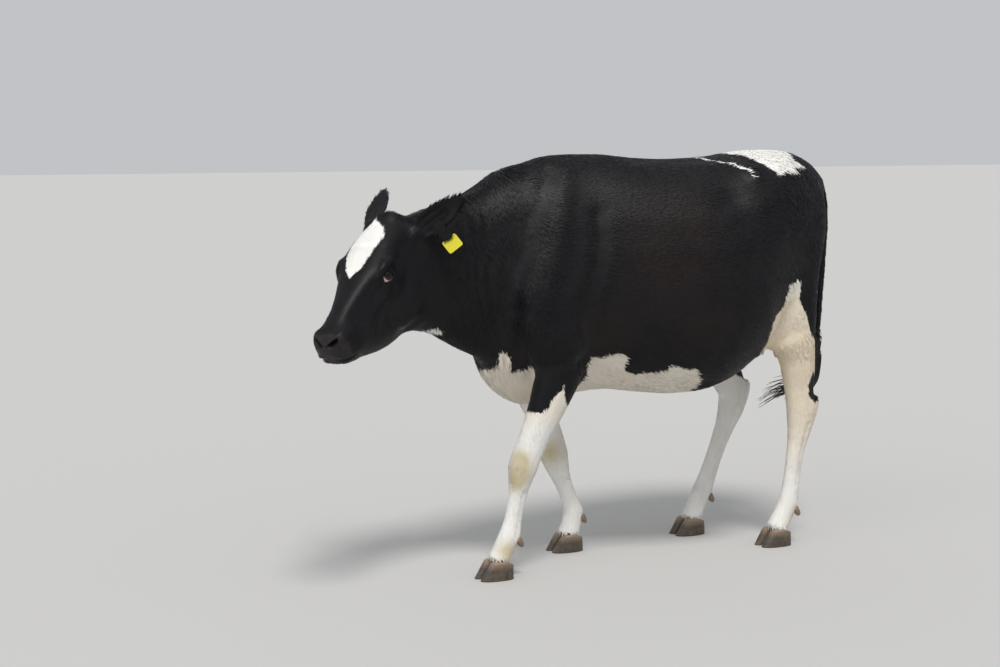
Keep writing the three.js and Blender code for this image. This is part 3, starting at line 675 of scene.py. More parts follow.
def white_at(co):
    """Metres inside the white, negative in the black: the largest over the patches."""
    x, y, z = co.T
    l, f, w = to_head(co).T
    side, top = np.stack([x, z], 1), np.stack([x, y], 1)
    left = y < 0
    legs = leg_masks(co)
    roof = 0.74 + 0.10 * step(.72, .76, x)
    under = 0.105 - np.abs(y) - 3 * np.maximum(z - roof, 0)
    under = under - 5 * np.maximum(0.3 - x, 0) - 5 * np.maximum(x - .985, 0)
    fields = [
        np.where(f > -0.10, inside(np.stack([l, w], 1), BLAZE), -1),
        np.where(z > 1.25, inside(top, RUMP), -1),
        np.where(z > 1.3, 2.0 * (0.0062 - nearest_on(top, STRIPE)[0]), -1),
        np.where(left, inside(side, BELLY_LEFT), inside(side, BELLY_RIGHT)),
        np.where(left & (x > 0.3), inside(side, HIND_LEFT), -1),
        np.where(~left & (x > 0.3), inside(side, HIND_RIGHT), -1),
        0.024 - np.linalg.norm((co - (-.601, -.085, .872)) * (.75, 1, 1.3), axis=1),
        under,
        np.where(z < 0.40, 0.05, -1),
    ]
    fore = legs["fore_left"] + legs["fore_right"] > 0.4
    inner = 0.15 - np.abs(y)
    on_leg = np.maximum(np.where(left, inside(side, FORE_LEFT), inside(side, FORE_RIGHT)), inner)
    trunk = np.max(fields, axis=0)
    trunk = np.where(fore & (x < 0.1), on_leg, trunk)
    spot = np.where(left & (x > 0.3), inside(side, HOCK_SPOT), -1)
    spot = np.minimum(spot, -.165 - y + .3 * (z - .60))
    return np.clip(np.minimum(trunk, -spot), -0.05, 0.05)


# Middles and sizes of the stained places, and of those where the black turns brown.
STAINS = (
    ((-.325, -.20, .425), .034), ((-.325, -.21, .385), .048), ((-.335, -.20, .345), .034),
    ((-.045, .085, .385), .050), ((-.04, .15, .36), .03), ((.88, -.22, .10), .05), ((-.37, -.2, .1), .04),
)
BROWNED = (
    ((.22, -.33, 1.18), .20), ((.0, -.24, .86), .10), ((.3, .33, 1.15), .22), ((.35, -.3, .85), .12),
    ((-.30, -.16, .75), .05),
)


def blots(co, places):
    """Sum over the places of exp(-(distance / size)^2), at most 1."""
    total = np.zeros(len(co))
    for centre, size in places:
        total += np.exp(-(np.linalg.norm(co - centre, axis=1) / size) ** 2)
    return np.clip(total, 0, 1)


def tones_at(co):
    """Shares from 0 to 1 of the other tones: cream, stain, brown in the black, wet nose and pink udder."""
    x, y, z = co.T
    hind = step(.55, .66, x) * step(1.05, .9, z)
    cream = hind * step(.18, .60, z) * step(.05, -.05, y)
    cream = cream + 0.55 * step(.9, .8, z) * step(.5, .62, z) * step(.6, .5, x)
    l, f, _ = to_head(co).T
    wet = step(.512, .532, l) * step(-.128, -.112, f - .35 * (l - .58))
    pink = udder_mask(co) * step(.74, .70, z)
    return {"cream": np.clip(cream, 0, 1), "stain": blots(co, STAINS), "brown": blots(co, BROWNED),
            "wet": wet, "pink": pink}


# ---- Lie of the hair ----
def lie_at(co, normals):
    """The way the hair points: a few steady directions, blended by place and laid into the surface."""
    x, _, z = co.T
    l, f, _ = to_head(co).T
    ones = np.ones(len(co))

    def way(vector):
        return np.outer(ones, np.asarray(vector, float))

    def mix(a, b, share):
        return a * (1 - share)[:, None] + b * share[:, None]

    lie = way((1, 0, -.55))
    lie = mix(lie, way((1, 0, -.1)), step(1.34, 1.44, z))
    lie = mix(lie, way((1, 0, 0)), step(.70, .62, z))
    lie = mix(lie, way((.35, 0, -1)), step(.66, .86, x))
    lie = mix(lie, way((.30, 0, -1)), step(-.18, -.32, x))
    head = mix(way(NOSEWARDS), way(-NOSEWARDS + .25 * BROWWARDS), step(.19, .12, l))
    head = mix(head, way(-.9 * BROWWARDS - .1 * NOSEWARDS), step(-.10, -.17, f))
    lie = mix(lie, head, head_mask(co))
    lie = mix(lie, way((.12, 0, -1)), np.maximum(on_legs(co), tail_mask(co)))
    for side in EAR_ROOT:
        root, aim, _, _ = ear_axes(side)
        gap, _ = nearest_on(co, [root, root + aim * EAR_LENGTH])
        lie = mix(lie, way(aim), step(0.075, 0.055, gap) * step(0.01, 0.04, (co - root) @ aim))
    return laid(lie, normals)


# ---- Materials ----
class Nodes:
    """Adds and links the nodes of one material, each placed right of the last."""

    def __init__(self, name):
        self.material = bpy.data.materials.new(name)
        self.material.use_nodes = True
        self.tree = self.material.node_tree
        self.shader = self.tree.nodes["Principled BSDF"]
        self.column = -1400

    def add(self, kind, links=None, **settings):
        """A node with its settings, and its inputs by name or number."""
        node = self.tree.nodes.new(kind)
        node.location = (self.column, 0)
        self.column += 60
        for key, value in settings.items():
            setattr(node, key, value)
        for key, value in (links or {}).items():
            self.put(node.inputs[key], value)
        return node

    def put(self, socket, value):
        """Links an output to the socket, or sets the socket's own value."""
        if hasattr(value, "is_output"):
            self.tree.links.new(value, socket)
        else:
            socket.default_value = value

    def set(self, **values):
        """Sets the shader's sockets, with _ for each space in their names."""
        for key, value in values.items():
            self.put(self.shader.inputs[key.replace("_", " ")], value)

    def math(self, operation, a, b=0.0):
        """One step of arithmetic."""
        return self.add("ShaderNodeMath", {0: a, 1: b}, operation=operation).outputs[0]

    def swing(self, value, size):
        """A value of about a half, turned into one that swings round 0 by size."""
        return self.math("MULTIPLY", self.math("SUBTRACT", value, 0.5), size)

    def part_of(self, name, cloud, *ranges):
        """A piece's attribute, less where the cloud is thin."""
        return self.math("MULTIPLY", self.value_of(name), self.spread(cloud, *ranges))

    def mix(self, share, a, b):
        """Number a where the share is 0, b where it is 1."""
        return self.add("ShaderNodeMix", {0: share, 2: a, 3: b}).outputs[0]

    def blend(self, share, a, b):
        """Colour a where the share is 0, b where it is 1."""
        node = self.add("ShaderNodeMix", data_type="RGBA")
        for index, value in ((0, share), (6, a), (7, b)):
            self.put(node.inputs[index], value)
        return node.outputs[2]

    def spread(self, value, low, high, out_low=0.0, out_high=1.0):
        """A value carried from one range to another, and held inside it."""
        links = {"Value": value, "From Min": low, "From Max": high, "To Min": out_low, "To Max": out_high}
        return self.add("ShaderNodeMapRange", links).outputs[0]

    def value_of(self, name):
        """An attribute of the piece."""
        return self.add("ShaderNodeAttribute", attribute_name=name).outputs["Fac"]

    def place(self, scale=(1, 1, 1), turn=(0, 0, 0)):
        """Object coordinates, stretched and turned."""
        coordinates = self.add("ShaderNodeTexCoord").outputs["Object"]
        links = {"Vector": coordinates, "Scale": scale, "Rotation": turn}
        return self.add("ShaderNodeMapping", links).outputs[0]

    def noise(self, place, scale, detail=3.0, rough=0.5):
        """Cloudy noise from 0 to 1."""
        links = {"Vector": place, "Scale": scale, "Detail": detail, "Roughness": rough}
        return self.add("ShaderNodeTexNoise", links).outputs["Fac"]

    def bump(self, height, strength, distance):
        """A normal tilted by the slope of a height."""
        links = {"Height": height, "Strength": strength, "Distance": distance}
        return self.add("ShaderNodeBump", links).outputs[0]


def rgb(r, g, b):
    """A colour with full opacity."""
    return (r, g, b, 1.0)


def coat_material(name, hairy):
    """Black and white hair: the markings' edge is ragged by noise, and fine streaks follow the hair."""
    m = Nodes(name)
    place = m.place()
    streaks = m.noise(m.place((26, 70, 26), (0, 0.5, 0)), 9.0, 4.0, 0.6)
    strands = m.noise(m.place((90, 90, 14)), 5.0, 3.0, 0.6)
    hair = m.mix(m.value_of("down"), streaks, strands)
    cloud = m.noise(place, 5.0, 2.0)
    edge = m.math("ADD", m.value_of("white"), m.swing(hair, 0.016))
    edge = m.math("ADD", edge, m.swing(m.noise(place, 70.0), 0.010))
    white = m.spread(edge, -0.0012, 0.0012)
    tint = m.value_of("tint")
    black = m.blend(m.spread(cloud, 0.35, 0.7), rgb(.0040, .0040, .0050), rgb(.0080, .0074, .0082))
    black = m.blend(m.part_of("brown", cloud, .3, .7, .35, .9), black, rgb(.018, .0090, .0070))
    black = m.blend(m.spread(tint, 0, 1, 0, .5), black, rgb(.013, .013, .016))
    pale = m.blend(m.part_of("cream", cloud, .2, .7, .6, 1), rgb(.84, .83, .80), rgb(.80, .665, .47))
    mud = m.noise(place, 14.0)
    pale = m.blend(m.part_of("stain", mud, .30, .70, .55, .80), pale, rgb(.47, .36, .13))
    pale = m.blend(m.spread(tint, 0, 1, 0.0, .25), pale, rgb(.66, .60, .51))
    colour = m.blend(white, black, pale)
    rough = m.math("ADD", m.spread(white, 0, 1, .42, .65), m.swing(hair, .25))
    if not hairy:
        wet = m.value_of("wet")
        colour = m.blend(m.part_of("pink", cloud, .2, .8, .5, .95), colour, rgb(.70, .50, .41))
        nose = m.blend(m.noise(place, 60.0), rgb(.010, .0085, .009), rgb(.032, .025, .025))
        colour = m.blend(wet, colour, nose)
        rough = m.mix(wet, rough, 0.30)
        cells = {"Vector": place, "Scale": 330.0}
        pebbles = m.add("ShaderNodeTexVoronoi", cells, feature="DISTANCE_TO_EDGE").outputs[0]
        height = m.mix(wet, hair, m.spread(pebbles, 0.0, 0.16))
        m.set(Normal=m.bump(height, 0.35, 0.0012))
    m.set(Base_Color=colour, Roughness=rough, Specular_IOR_Level=0.17, Sheen_Weight=0.02,
          Sheen_Roughness=0.45)
    m.shader.inputs["Sheen Tint"].default_value = rgb(.75, .82, 1.0)
    return m.material


def floor_material():
    """A plain pale floor."""
    m = Nodes("pale_floor")
    m.set(Base_Color=rgb(.52, .515, .505), Roughness=0.9)
    return m.material


# ---- Skin piece ----
def skin_values(co):
    """What the coat's material reads at each point: white, tint, where hair points down, and the tones."""
    down = np.maximum.reduce([on_legs(co), head_mask(co), step(-.18, -.32, co[:, 0]), tail_mask(co)])
    return {"white": white_at(co), "tint": np.full(len(co), 0.3), "down": down, **tones_at(co)}


SKIN, SKIN_TRIS = skin_arrays()
SKIN_NORMALS = normals_of(SKIN, SKIN_TRIS)
SKIN_LOOK = coat_material("coat_skin", hairy=False)
piece("skin", SKIN, SKIN_TRIS, SKIN_LOOK, FLESH, skin_values(SKIN))


# ---- Tufts ----
# Sections of a tuft: share of its length, share of its width, share of its thickness.
TUFT_SECTIONS = ((0.0, 0.75, 0.8), (0.5, 1.0, 1.0))
TUFT_POINTS = 7  # two sections of three points, and the tip
ROOT_DEPTH = 0.0006  # how far a tuft's root is sunk
RIDGE = 0.22  # a coat tuft's thickness over its width


def tuft_arrays(roots, normals, lies, length, width, thick, lift, bow):
    """Each tuft is a thin three-sided lock of two sections and a tip.

    A point at share s of the length is root + lie * length * s + normal * length * (lift * s - 0.35 * lift
    * s^2) + side * length * bow * s^2, and a section spans the width with its ridge one thickness higher.
    """
    side = np.cross(normals, lies)
    length, width, thick = length[:, None], width[:, None], thick[:, None]
    lift, bow = lift[:, None], bow[:, None]

    def middle(s):
        rise = lift * s - 0.35 * lift * s**2
        return roots + lies * length * s + normals * length * rise + side * length * bow * s**2

    points, directions = [], []
    for s, broad, high in TUFT_SECTIONS:
        centre = middle(s) - normals * ROOT_DEPTH * (s == 0)
        for across, up in ((-0.5, 0.0), (0.5, 0.0), (0.0, 1.0)):
            points.append(centre + side * width * broad * across + normals * thick * high * up)
            directions.append(unit(normals + side * across * 0.45 - lies * 0.08))
    points.append(middle(1.0))
    directions.append(unit(normals + lies * 0.08))
    verts = np.stack(points, 1).reshape(-1, 3)
    shade = np.stack(directions, 1).reshape(-1, 3)
    pattern = [(0, 2, 1)]
    for a, b in ((0, 1), (1, 2), (2, 0)):
        pattern += [(a, b, b + 3), (a, b + 3, a + 3), (a + 3, b + 3, 6)]
    tris = (np.arange(len(roots))[:, None, None] * TUFT_POINTS + np.array(pattern)).reshape(-1, 3)
    return verts, tris, shade


# Where a tuft's points lie in its patch of the bake map.
TUFT_PATCH = np.array([(-.5, 0), (.5, 0), (0, 0), (-.5, .5), (.5, .5), (0, .5), (0, 1.0)]) * PATCH


def scattered(weights, count, rng):
    """Roots spread over the skin's triangles by area times weight, with their normals."""
    corners = SKIN[SKIN_TRIS]
    area = np.linalg.norm(np.cross(corners[:, 1] - corners[:, 0], corners[:, 2] - corners[:, 0]), axis=1)
    total = np.cumsum(area * weights)
    spots = (np.arange(count) + rng.random(count)) / count * total[-1]
    chosen = np.minimum(np.searchsorted(total, spots), len(total) - 1)
    a, b = rng.random((2, count))
    flip = a + b > 1
    a, b = np.where(flip, 1 - a, a), np.where(flip, 1 - b, b)
    share = np.stack([1 - a - b, a, b], 1)[:, :, None]
    return (corners[chosen] * share).sum(1), unit((SKIN_NORMALS[SKIN_TRIS[chosen]] * share).sum(1))


def turned(lies, normals, angle):
    """Directions in the surface, each turned round its normal by its own angle."""
    return unit(lies * np.cos(angle)[:, None] + np.cross(normals, lies) * np.sin(angle)[:, None])


def coat(name, weights, chart, count, length, width, lift, spread, seed, follow=lie_at):
    """One piece of coat: its tufts, what they read of the markings, and their patches in the bake map.

    weights spread the roots over the skin's triangles, or are the roots and their normals.
    """
    rng = np.random.default_rng(seed)
    roots, normals = weights if isinstance(weights, tuple) else scattered(weights, count, rng)
    turn = rng.normal(0, spread, count) + 0.35 * spread * ripple(roots, 9, seed)
    lies = turned(follow(roots, normals), normals, turn)
    clump = 1 + 0.25 * ripple(roots, 14.0, seed + 1)
    size = length(roots) if callable(length) else np.full(count, length)
    size = size * rng.uniform(0.7, 1.25, count)
    widths = width * rng.uniform(0.7, 1.2, count)
    lifts = lift * clump * rng.uniform(0.5, 1.4, count)
    bows = rng.normal(0, 0.10, count)
    thick = np.full(count, width * RIDGE)
    verts, tris, shade = tuft_arrays(roots, normals, lies, size, widths, thick, lifts, bows)
    tones = tones_at(roots)
    halfway = roots + lies * size[:, None] * 0.4
    tones["white"] = np.clip(white_at(halfway) + rng.normal(0, 0.0022, count), -.05, .05)
    tones["tint"] = rng.random(count)
    del tones["wet"], tones["pink"]
    values = {key: np.repeat(value, TUFT_POINTS) for key, value in tones.items()}
    values["down"] = np.full(len(verts), 0.5)
    obj = piece(name, verts, tris, COAT, (), values)
    uv = (chart(roots, normals)[:, None, :] + TUFT_PATCH).reshape(-1, 2)
    layer = obj.data.uv_layers.new(name="OFBake")
    layer.data.foreach_set("uv", uv[tris.ravel()].astype(np.float32).ravel())
    obj.data.normals_split_custom_set_from_vertices(shade)
    return obj


# ---- Unwraps of the skin for the bake maps ----
def fitted(uv, column=0, columns=1):
    """An unwrap scaled into its own column of the unit square, with a margin of two patches or more."""
    if not len(uv):
        return uv
    low, high = uv.min(0), uv.max(0)
    uv = (uv - low) / np.maximum(high - low, 1e-6)
    edge = 2 * PATCH
    room = 1 - 3 * edge
    return np.stack([(column + edge + uv[:, 0] * room) / columns, edge + uv[:, 1] * room], 1)


def body_chart(roots, normals):
    """The body unrolled round its long axis: u along x, v the angle round the axis."""
    return fitted(np.stack([roots[:, 0], np.arctan2(roots[:, 1], 1.05 - roots[:, 2]) % (2 * np.pi)], 1))


def back_chart(roots, normals):
    """The same with the seam under the belly."""
    return fitted(np.stack([roots[:, 0], np.arctan2(roots[:, 1], roots[:, 2] - 1.05)], 1))


def head_chart(roots, normals):
    """The head unrolled round the line between poll and mouth, with the seam under the jaw."""
    l, f, w = to_head(roots).T
    return fitted(np.stack([l, np.arctan2(w, f + 0.15)], 1))


def limbs_chart(lines):
    """Each limb unrolled round its own line, in a column of its own."""
    def chart(roots, normals):
        gaps = [nearest_on(roots, line) for line in lines]
        owner = np.argmin([gap for gap, _ in gaps], axis=0)
        uv = np.zeros((len(roots), 2))
        for i, line in enumerate(lines):
            own = owner == i
            place = gaps[i][1][own]
            line = np.asarray(line, float)
            low = np.minimum(place.astype(int), len(line) - 2)
            middle = line[low] + (line[low + 1] - line[low]) * (place - low)[:, None]
            off = roots[own] - middle
            turn = np.arctan2(off[:, 1], off[:, 0]) / (2 * np.pi)
            uv[own] = fitted(np.stack([turn, place + 0.15 * off[:, 2]], 1), i, len(lines))
        return uv
    return chart


def ears_chart(roots, normals):
    """Inner and outer face of each ear laid flat, in four columns."""
    uv = np.zeros((len(roots), 2))
    frames = [ear_axes(side) for side in EAR_ROOT]
    nearest = np.argmin([np.linalg.norm(roots - (f[0] + f[1] * .12), axis=1) for f in frames], axis=0)
    for i, (root, aim, face, across) in enumerate(frames):
        for k, front in enumerate((normals @ face > 0, normals @ face <= 0)):
            own = (nearest == i) & front
            flat = np.stack([(roots[own] - root) @ across, (roots[own] - root) @ aim], 1)
            uv[own] = fitted(flat, 2 * i + k, 4)
    return uv


# ---- Coat ----
COAT = coat_material("coat_tufts", hairy=True)


def coat_regions():
    """For each region of coat, 1 on its triangles of skin and 0 elsewhere."""
    middle = SKIN[SKIN_TRIS].mean(axis=1)
    x, y, z = middle.T
    legs = leg_masks(middle)
    ears = ear_mask(middle) > 0.5
    tail = (tail_mask(middle) > 0.5) & (z < 1.43)
    fore = ((legs["fore_left"] + legs["fore_right"]) > 0.5) & (x < 0.3)
    hind = ((legs["hind_left"] + legs["hind_right"]) > 0.5) & (x > 0.3)
    udder = udder_mask(middle) > 0.5
    eyes = np.linalg.norm(folded(to_head(middle)) - EYE_AT, axis=1) < 0.028
    bare = (tones_at(middle)["wet"] > 0.3) | eyes | (z < 0.062)
    head = (head_mask(middle) > 0.5) & ~ears & ~bare
    rest = ~(ears | tail | fore | hind | udder | head | bare | eyes)
    neck = rest & (x < -0.22) & (z > 0.70)
    belly = rest & (z < 0.78) & ~neck
    back = rest & (z > 1.33) & ~neck
    flank = rest & ~neck & ~belly & ~back
    return {"ears": ears, "tail": tail, "fore": fore, "hind": hind, "head": head, "neck": neck,
            "belly": belly, "back": back, "left": flank & (y < 0), "right": flank & (y >= 0)}


def lengths_on_head(roots):
    """Longest on the poll, shortest round the muzzle."""
    l, _, _ = to_head(roots).T
    return 0.009 + 0.018 * step(0.10, -0.02, l) + 0.005 * step(0.30, 0.12, l)


def lengths_on_legs(roots):
    """Longest where it hangs over the coronet and the dewclaws."""
    return 0.014 + 0.010 * step(.100, .075, roots[:, 2])


def ear_places(roots):
    """For each root, its ear's axis across the leaf and where it lies from middle (0) to rim (-1 or 1)."""
    frames = [ear_axes(side) for side in EAR_ROOT]
    nearest = np.argmin([nearest_on(roots, [f[0], f[0] + f[1] * EAR_LENGTH])[0] for f in frames], axis=0)
    root, aim, _, across = (np.array([f[i] for f in frames])[nearest] for i in range(4))
    off = roots - root
    share = np.clip((off * aim).sum(1) / EAR_LENGTH, 0, 1)
    half = 0.048 * np.sin(np.pi * np.clip(share * 0.85 + 0.14, 0.05, 1))
    return aim, across, np.clip((off * across).sum(1) / half, -1.2, 1.2)


def lengths_on_ears(roots):
    """Short on the back and in the hollow, long along the rims."""
    return 0.011 + 0.006 * step(.55, .95, np.abs(ear_places(roots)[2]))


def lie_on_ears(roots, normals):
    """Towards the tip, and outwards past the rims."""
    aim, across, wide = ear_places(roots)
    lie = aim + across * (0.3 * wide * step(.4, 1.0, np.abs(wide)))[:, None]
    return laid(lie, normals, 0.7)


def coats():
    """The coat's pieces: region, unwrap, count, length, width, lift, spread of the lie, seed."""
    on = coat_regions()
    coat("coat_left", on["left"], body_chart, 17500, .027, .0033, .065, .13, 11)
    coat("coat_right", on["right"], body_chart, 17500, .027, .0033, .065, .13, 12)
    coat("coat_back", on["back"], back_chart, 13500, .024, .0032, .07, .14, 13)
    coat("coat_neck", on["neck"], back_chart, 19000, .030, .0032, .10, .14, 14)
    coat("coat_belly", on["belly"], body_chart, 13500, .027, .0036, .12, .17, 15)
    coat("coat_head", on["head"], head_chart, 19500, lengths_on_head, .0020, .07, .16, 16)
    coat("coat_ears", on["ears"], ears_chart, 7500, lengths_on_ears, .0015, .16, .12, 17, lie_on_ears)
    fore_chart = limbs_chart([LEGS["fore_left"], LEGS["fore_right"]])
    hind_chart = limbs_chart([LEGS["hind_left"], LEGS["hind_right"]])
    coat("coat_fore_legs", on["fore"], fore_chart, 12500, lengths_on_legs, .0023, .10, .14, 18)
    coat("coat_hind_legs", on["hind"], hind_chart, 15500, lengths_on_legs, .0024, .10, .14, 19)
    coat("coat_tail", on["tail"], limbs_chart([TAIL]), 3600, .024, .0028, .08, .12, 20)


TAG_HAIRS = 1100
TAG_HAIR_START = .024  # how far above the plate's top edge the strip of roots starts
TAG_HAIR_REACH = .66  # the strip's length over the plate's
TAG_HAIR_SPREAD = .0075  # how far the roots spread to each side
TAG_HAIR_AHEAD = .0078  # how far in front of the plate's middle the first roots lie
TAG_HAIR_CLOSING = .0025  # and how much nearer the last ones lie


def tag_hairs():
    """Hair of the ear that hangs over the tag's stem: roots on a strip in front of it, lying along it."""
    rng = np.random.default_rng(61)
    plate, _ = mesh_arrays(NODES["ear_tag_plate"].data)
    middle = plate.mean(0)
    axes = np.linalg.svd(plate - middle, full_matrices=False)[2]
    down = axes[0] * np.sign(-axes[0][2])
    out = axes[2] * np.sign(-axes[2][1])
    over = (plate - middle) @ down
    top, span = over.min(), np.ptp(over)
    share = rng.random(TAG_HAIRS)
    sides = rng.normal(0, TAG_HAIR_SPREAD, TAG_HAIRS)
    roots = middle + np.outer(top - TAG_HAIR_START + share * TAG_HAIR_REACH * span, down)
    roots = roots + np.outer(TAG_HAIR_AHEAD - TAG_HAIR_CLOSING * share, out)
    roots = roots + np.outer(sides, np.cross(down, out))
    normals = np.tile(out, (TAG_HAIRS, 1))
    lies = np.tile(down, (TAG_HAIRS, 1))
    coat("coat_over_tag", (roots, normals), ears_chart, TAG_HAIRS, .020, .0024, .05, .22, 21, lambda *_: lies)


coats()
tag_hairs()


# ---- Closed surfaces ----
def outward(verts, tris):
    """The same triangles, turned round when the volume that they close is negative."""
    a, b, c = verts[tris[:, 0]], verts[tris[:, 1]], verts[tris[:, 2]]
    return tris if (a * np.cross(b, c)).sum() > 0 else tris[:, ::-1]


def merged(parts):
    """Several (verts, tris) as one, each facing outwards."""
    verts, tris, start = [], [], 0
    for v, t in parts:
        verts.append(v)
        tris.append(outward(v - v.mean(0), t) + start)
        start += len(v)
    return np.vstack(verts), np.vstack(tris)


def torus_tris(rings, around):
    """Triangles of a ring of rings, closed both ways."""
    i, k = (n.ravel() for n in np.meshgrid(np.arange(rings), np.arange(around), indexing="ij"))
    j, n = (i + 1) % rings, (k + 1) % around
    a, b, c, d = i * around + k, i * around + n, j * around + n, j * around + k
    return np.vstack([np.stack([a, b, c], 1), np.stack([a, c, d], 1)])


def loop_weights(controls, samples):
    """Matrix that turns the controls of a closed Catmull-Rom curve into evenly spaced samples of it."""
    t = np.arange(samples) * controls / samples
    i, u = t.astype(int), t % 1.0
    u2, u3 = u**2, u**3
    blend = np.stack([-u + 2 * u2 - u3, 2 - 5 * u2 + 3 * u3, u + 4 * u2 - 3 * u3, -u2 + u3], 1) / 2
    matrix = np.zeros((samples, controls))
    for k in range(4):
        np.add.at(matrix, (np.arange(samples), (i + k - 1) % controls), blend[:, k])
    return matrix


# ---- Eyes ----
BALL_SHARE = 1.38  # the eyeball's size over the node's
EYE_RADIUS = (np.array(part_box("eye_left")[1]) - np.array(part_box("eye_left")[0])).mean() / 2 * BALL_SHARE
BULGE = 0.055  # how much the clear front stands out, as a share of the radius
BALL_SINK = 0.008  # how far the eyeball is sunk outside the lids' opening
EYE_SINK = (.0015, -.0125, -.0088)  # from the node's centre to the eyeball's, as l, f, w
EYE_FACING = (.52, .36, .77)  # l, f, w of the way the lids open
EYE_GAZE = (.08, .50, .86)  # and of the way the eye looks
LID_HALF = .0290  # half length of the opening
LID_AHEAD = .0045  # its middle lies this far towards the nose
LID_UP, LID_DOWN = .0158, .0138  # its height above and below the line between its corners
LID_TURNS, LID_SAMPLES = 96, 48  # points round the opening, and round a lid's section


def eye_frame(out, facing=EYE_FACING):
    """Centre, the way out, the way along the lids towards the nose, and the way to the brow."""
    forward = unit(np.array(facing) * (1, 1, out)) @ HEAD_AXES
    along = np.array([.90, .43, 0.0]) @ HEAD_AXES
    along = unit(along - forward * (along @ forward))
    centre = node_centre("eye_" + side_name(out)) + (np.array(EYE_SINK) * (1, 1, out)) @ HEAD_AXES
    return centre, forward, along, out * np.cross(along, forward)


def eye_material():
    """Pale sclera with a brown rim, a dark brown iris with rays, a long level pupil and a wet surface."""
    m = Nodes("wet_eye")
    off, along, across = m.value_of("off"), m.value_of("along"), m.value_of("across")
    speck = m.noise(m.place(), 260.0, 3.0)
    rays = m.noise(m.place(), 900.0, 2.0)
    sclera = m.blend(m.spread(speck, .45, .75), rgb(.62, .55, .52), rgb(.42, .27, .24))
    sclera = m.blend(m.spread(off, .86, .72), sclera, rgb(.07, .04, .03))
    iris = m.blend(m.spread(rays, .3, .7), rgb(.008, .0045, .003), rgb(.026, .013, .008))
    colour = m.blend(m.spread(off, .70, .66), sclera, iris)
    wide, tall = m.math("DIVIDE", along, .46), m.math("DIVIDE", across, .28)
    inner = m.math("ADD", m.math("MULTIPLY", wide, wide), m.math("MULTIPLY", tall, tall))
    colour = m.blend(m.spread(inner, 1.05, .95), colour, rgb(.002, .002, .003))
    m.set(Base_Color=colour, Roughness=0.06, IOR=1.36)
    return m.material


def eyeball(out, material):
    """A ball whose clear front bulges: its radius is R (1 + BULGE exp(-(angle off the gaze / 0.5)^2)).

    Outside the lids' opening it is sunk, so that it never shows through the skin.
    """
    centre, forward, along, across = eye_frame(out, EYE_GAZE)
    rings, around = 40, 48
    off = np.linspace(0.04, np.pi - 0.04, rings)[:, None]
    turn = turns(around)[None, :]
    radius = EYE_RADIUS * (1 + BULGE * np.exp(-(off / 0.5) ** 2))
    u, v, n = np.sin(off) * np.cos(turn), np.sin(off) * np.sin(turn), np.cos(off) * np.ones_like(turn)
    points = centre + radius[..., None] * (
        u[..., None] * along + v[..., None] * across + n[..., None] * forward)
    verts, tris = closed_tube(points)
    direction = unit(verts - centre)
    _, lids_out, lids_along, lids_across = eye_frame(out)
    local = verts - centre
    wide = (local @ lids_along - LID_AHEAD) / LID_HALF
    tall = (local @ lids_across) / LID_UP
    hidden = step(1.02, 1.30, np.hypot(wide, tall)) * step(0, .004, local @ lids_out)
    verts = verts - np.outer(BALL_SINK * hidden, lids_out)
    values = {"off": np.arccos(np.clip(direction @ forward, -1, 1)), "along": direction @ along,
              "across": direction @ across}
    side = side_name(out)
    piece(f"eyeball_{side}", verts, outward(verts - centre, tris), material, [f"eye_{side}"], values)


# Profile of a lid, from its hidden inner edge over its margin and a crease to its buried outer edge and back:
# distance outwards from the opening, height over the eyeball, height over the skin, share of the last one.
LID_PROFILE = [(-.0030, -.0025, 0, 0), (-.0012, -.0004, 0, 0), (.0000, .0012, 0, 0), (.0012, .0024, 0, 0),
               (.0030, .0026, 0, 0), (.0052, .0010, .0010, .15), (.0075, .0016, .0024, .5),
               (.0105, .0010, .0026, 1.0), (.0140, 0, .0012, 1.0), (.0185, 0, .0002, 1.0),
               (.0240, 0, -.0016, 1.0), (.0240, 0, -.0060, 1.0), (.0120, -.0060, -.0060, .6),
               (.0020, -.0060, 0, 0)]


def skin_height(centre, forward, along, across, u, v):
    """Height of the skin over the eye's plane at u, v: a mean of the skin's points, weighted by nearness."""
    q = SKIN - centre
    local = q[(np.abs(q @ forward) < 0.03) & (np.linalg.norm(q, axis=1) < 0.07)]
    local = local[np.linalg.norm(local, axis=1) > EYE_RADIUS + 0.002]
    flat = np.stack([local @ along, local @ across], 1)
    gap = (u.reshape(-1, 1) - flat[:, 0]) ** 2 + (v.reshape(-1, 1) - flat[:, 1]) ** 2
    weight = np.exp(-gap / 0.0035**2) + 1e-9
    return (weight @ (local @ forward) / weight.sum(1)).reshape(u.shape)


def opening(turn):
    """The almond between the lids: x = half length cos, y = height sin (1 - 0.3 cos^2)."""
    tall = np.where(np.sin(turn) > 0, LID_UP, LID_DOWN)
    return LID_AHEAD + LID_HALF * np.cos(turn), tall * np.sin(turn) * (1 - 0.3 * np.cos(turn) ** 2)


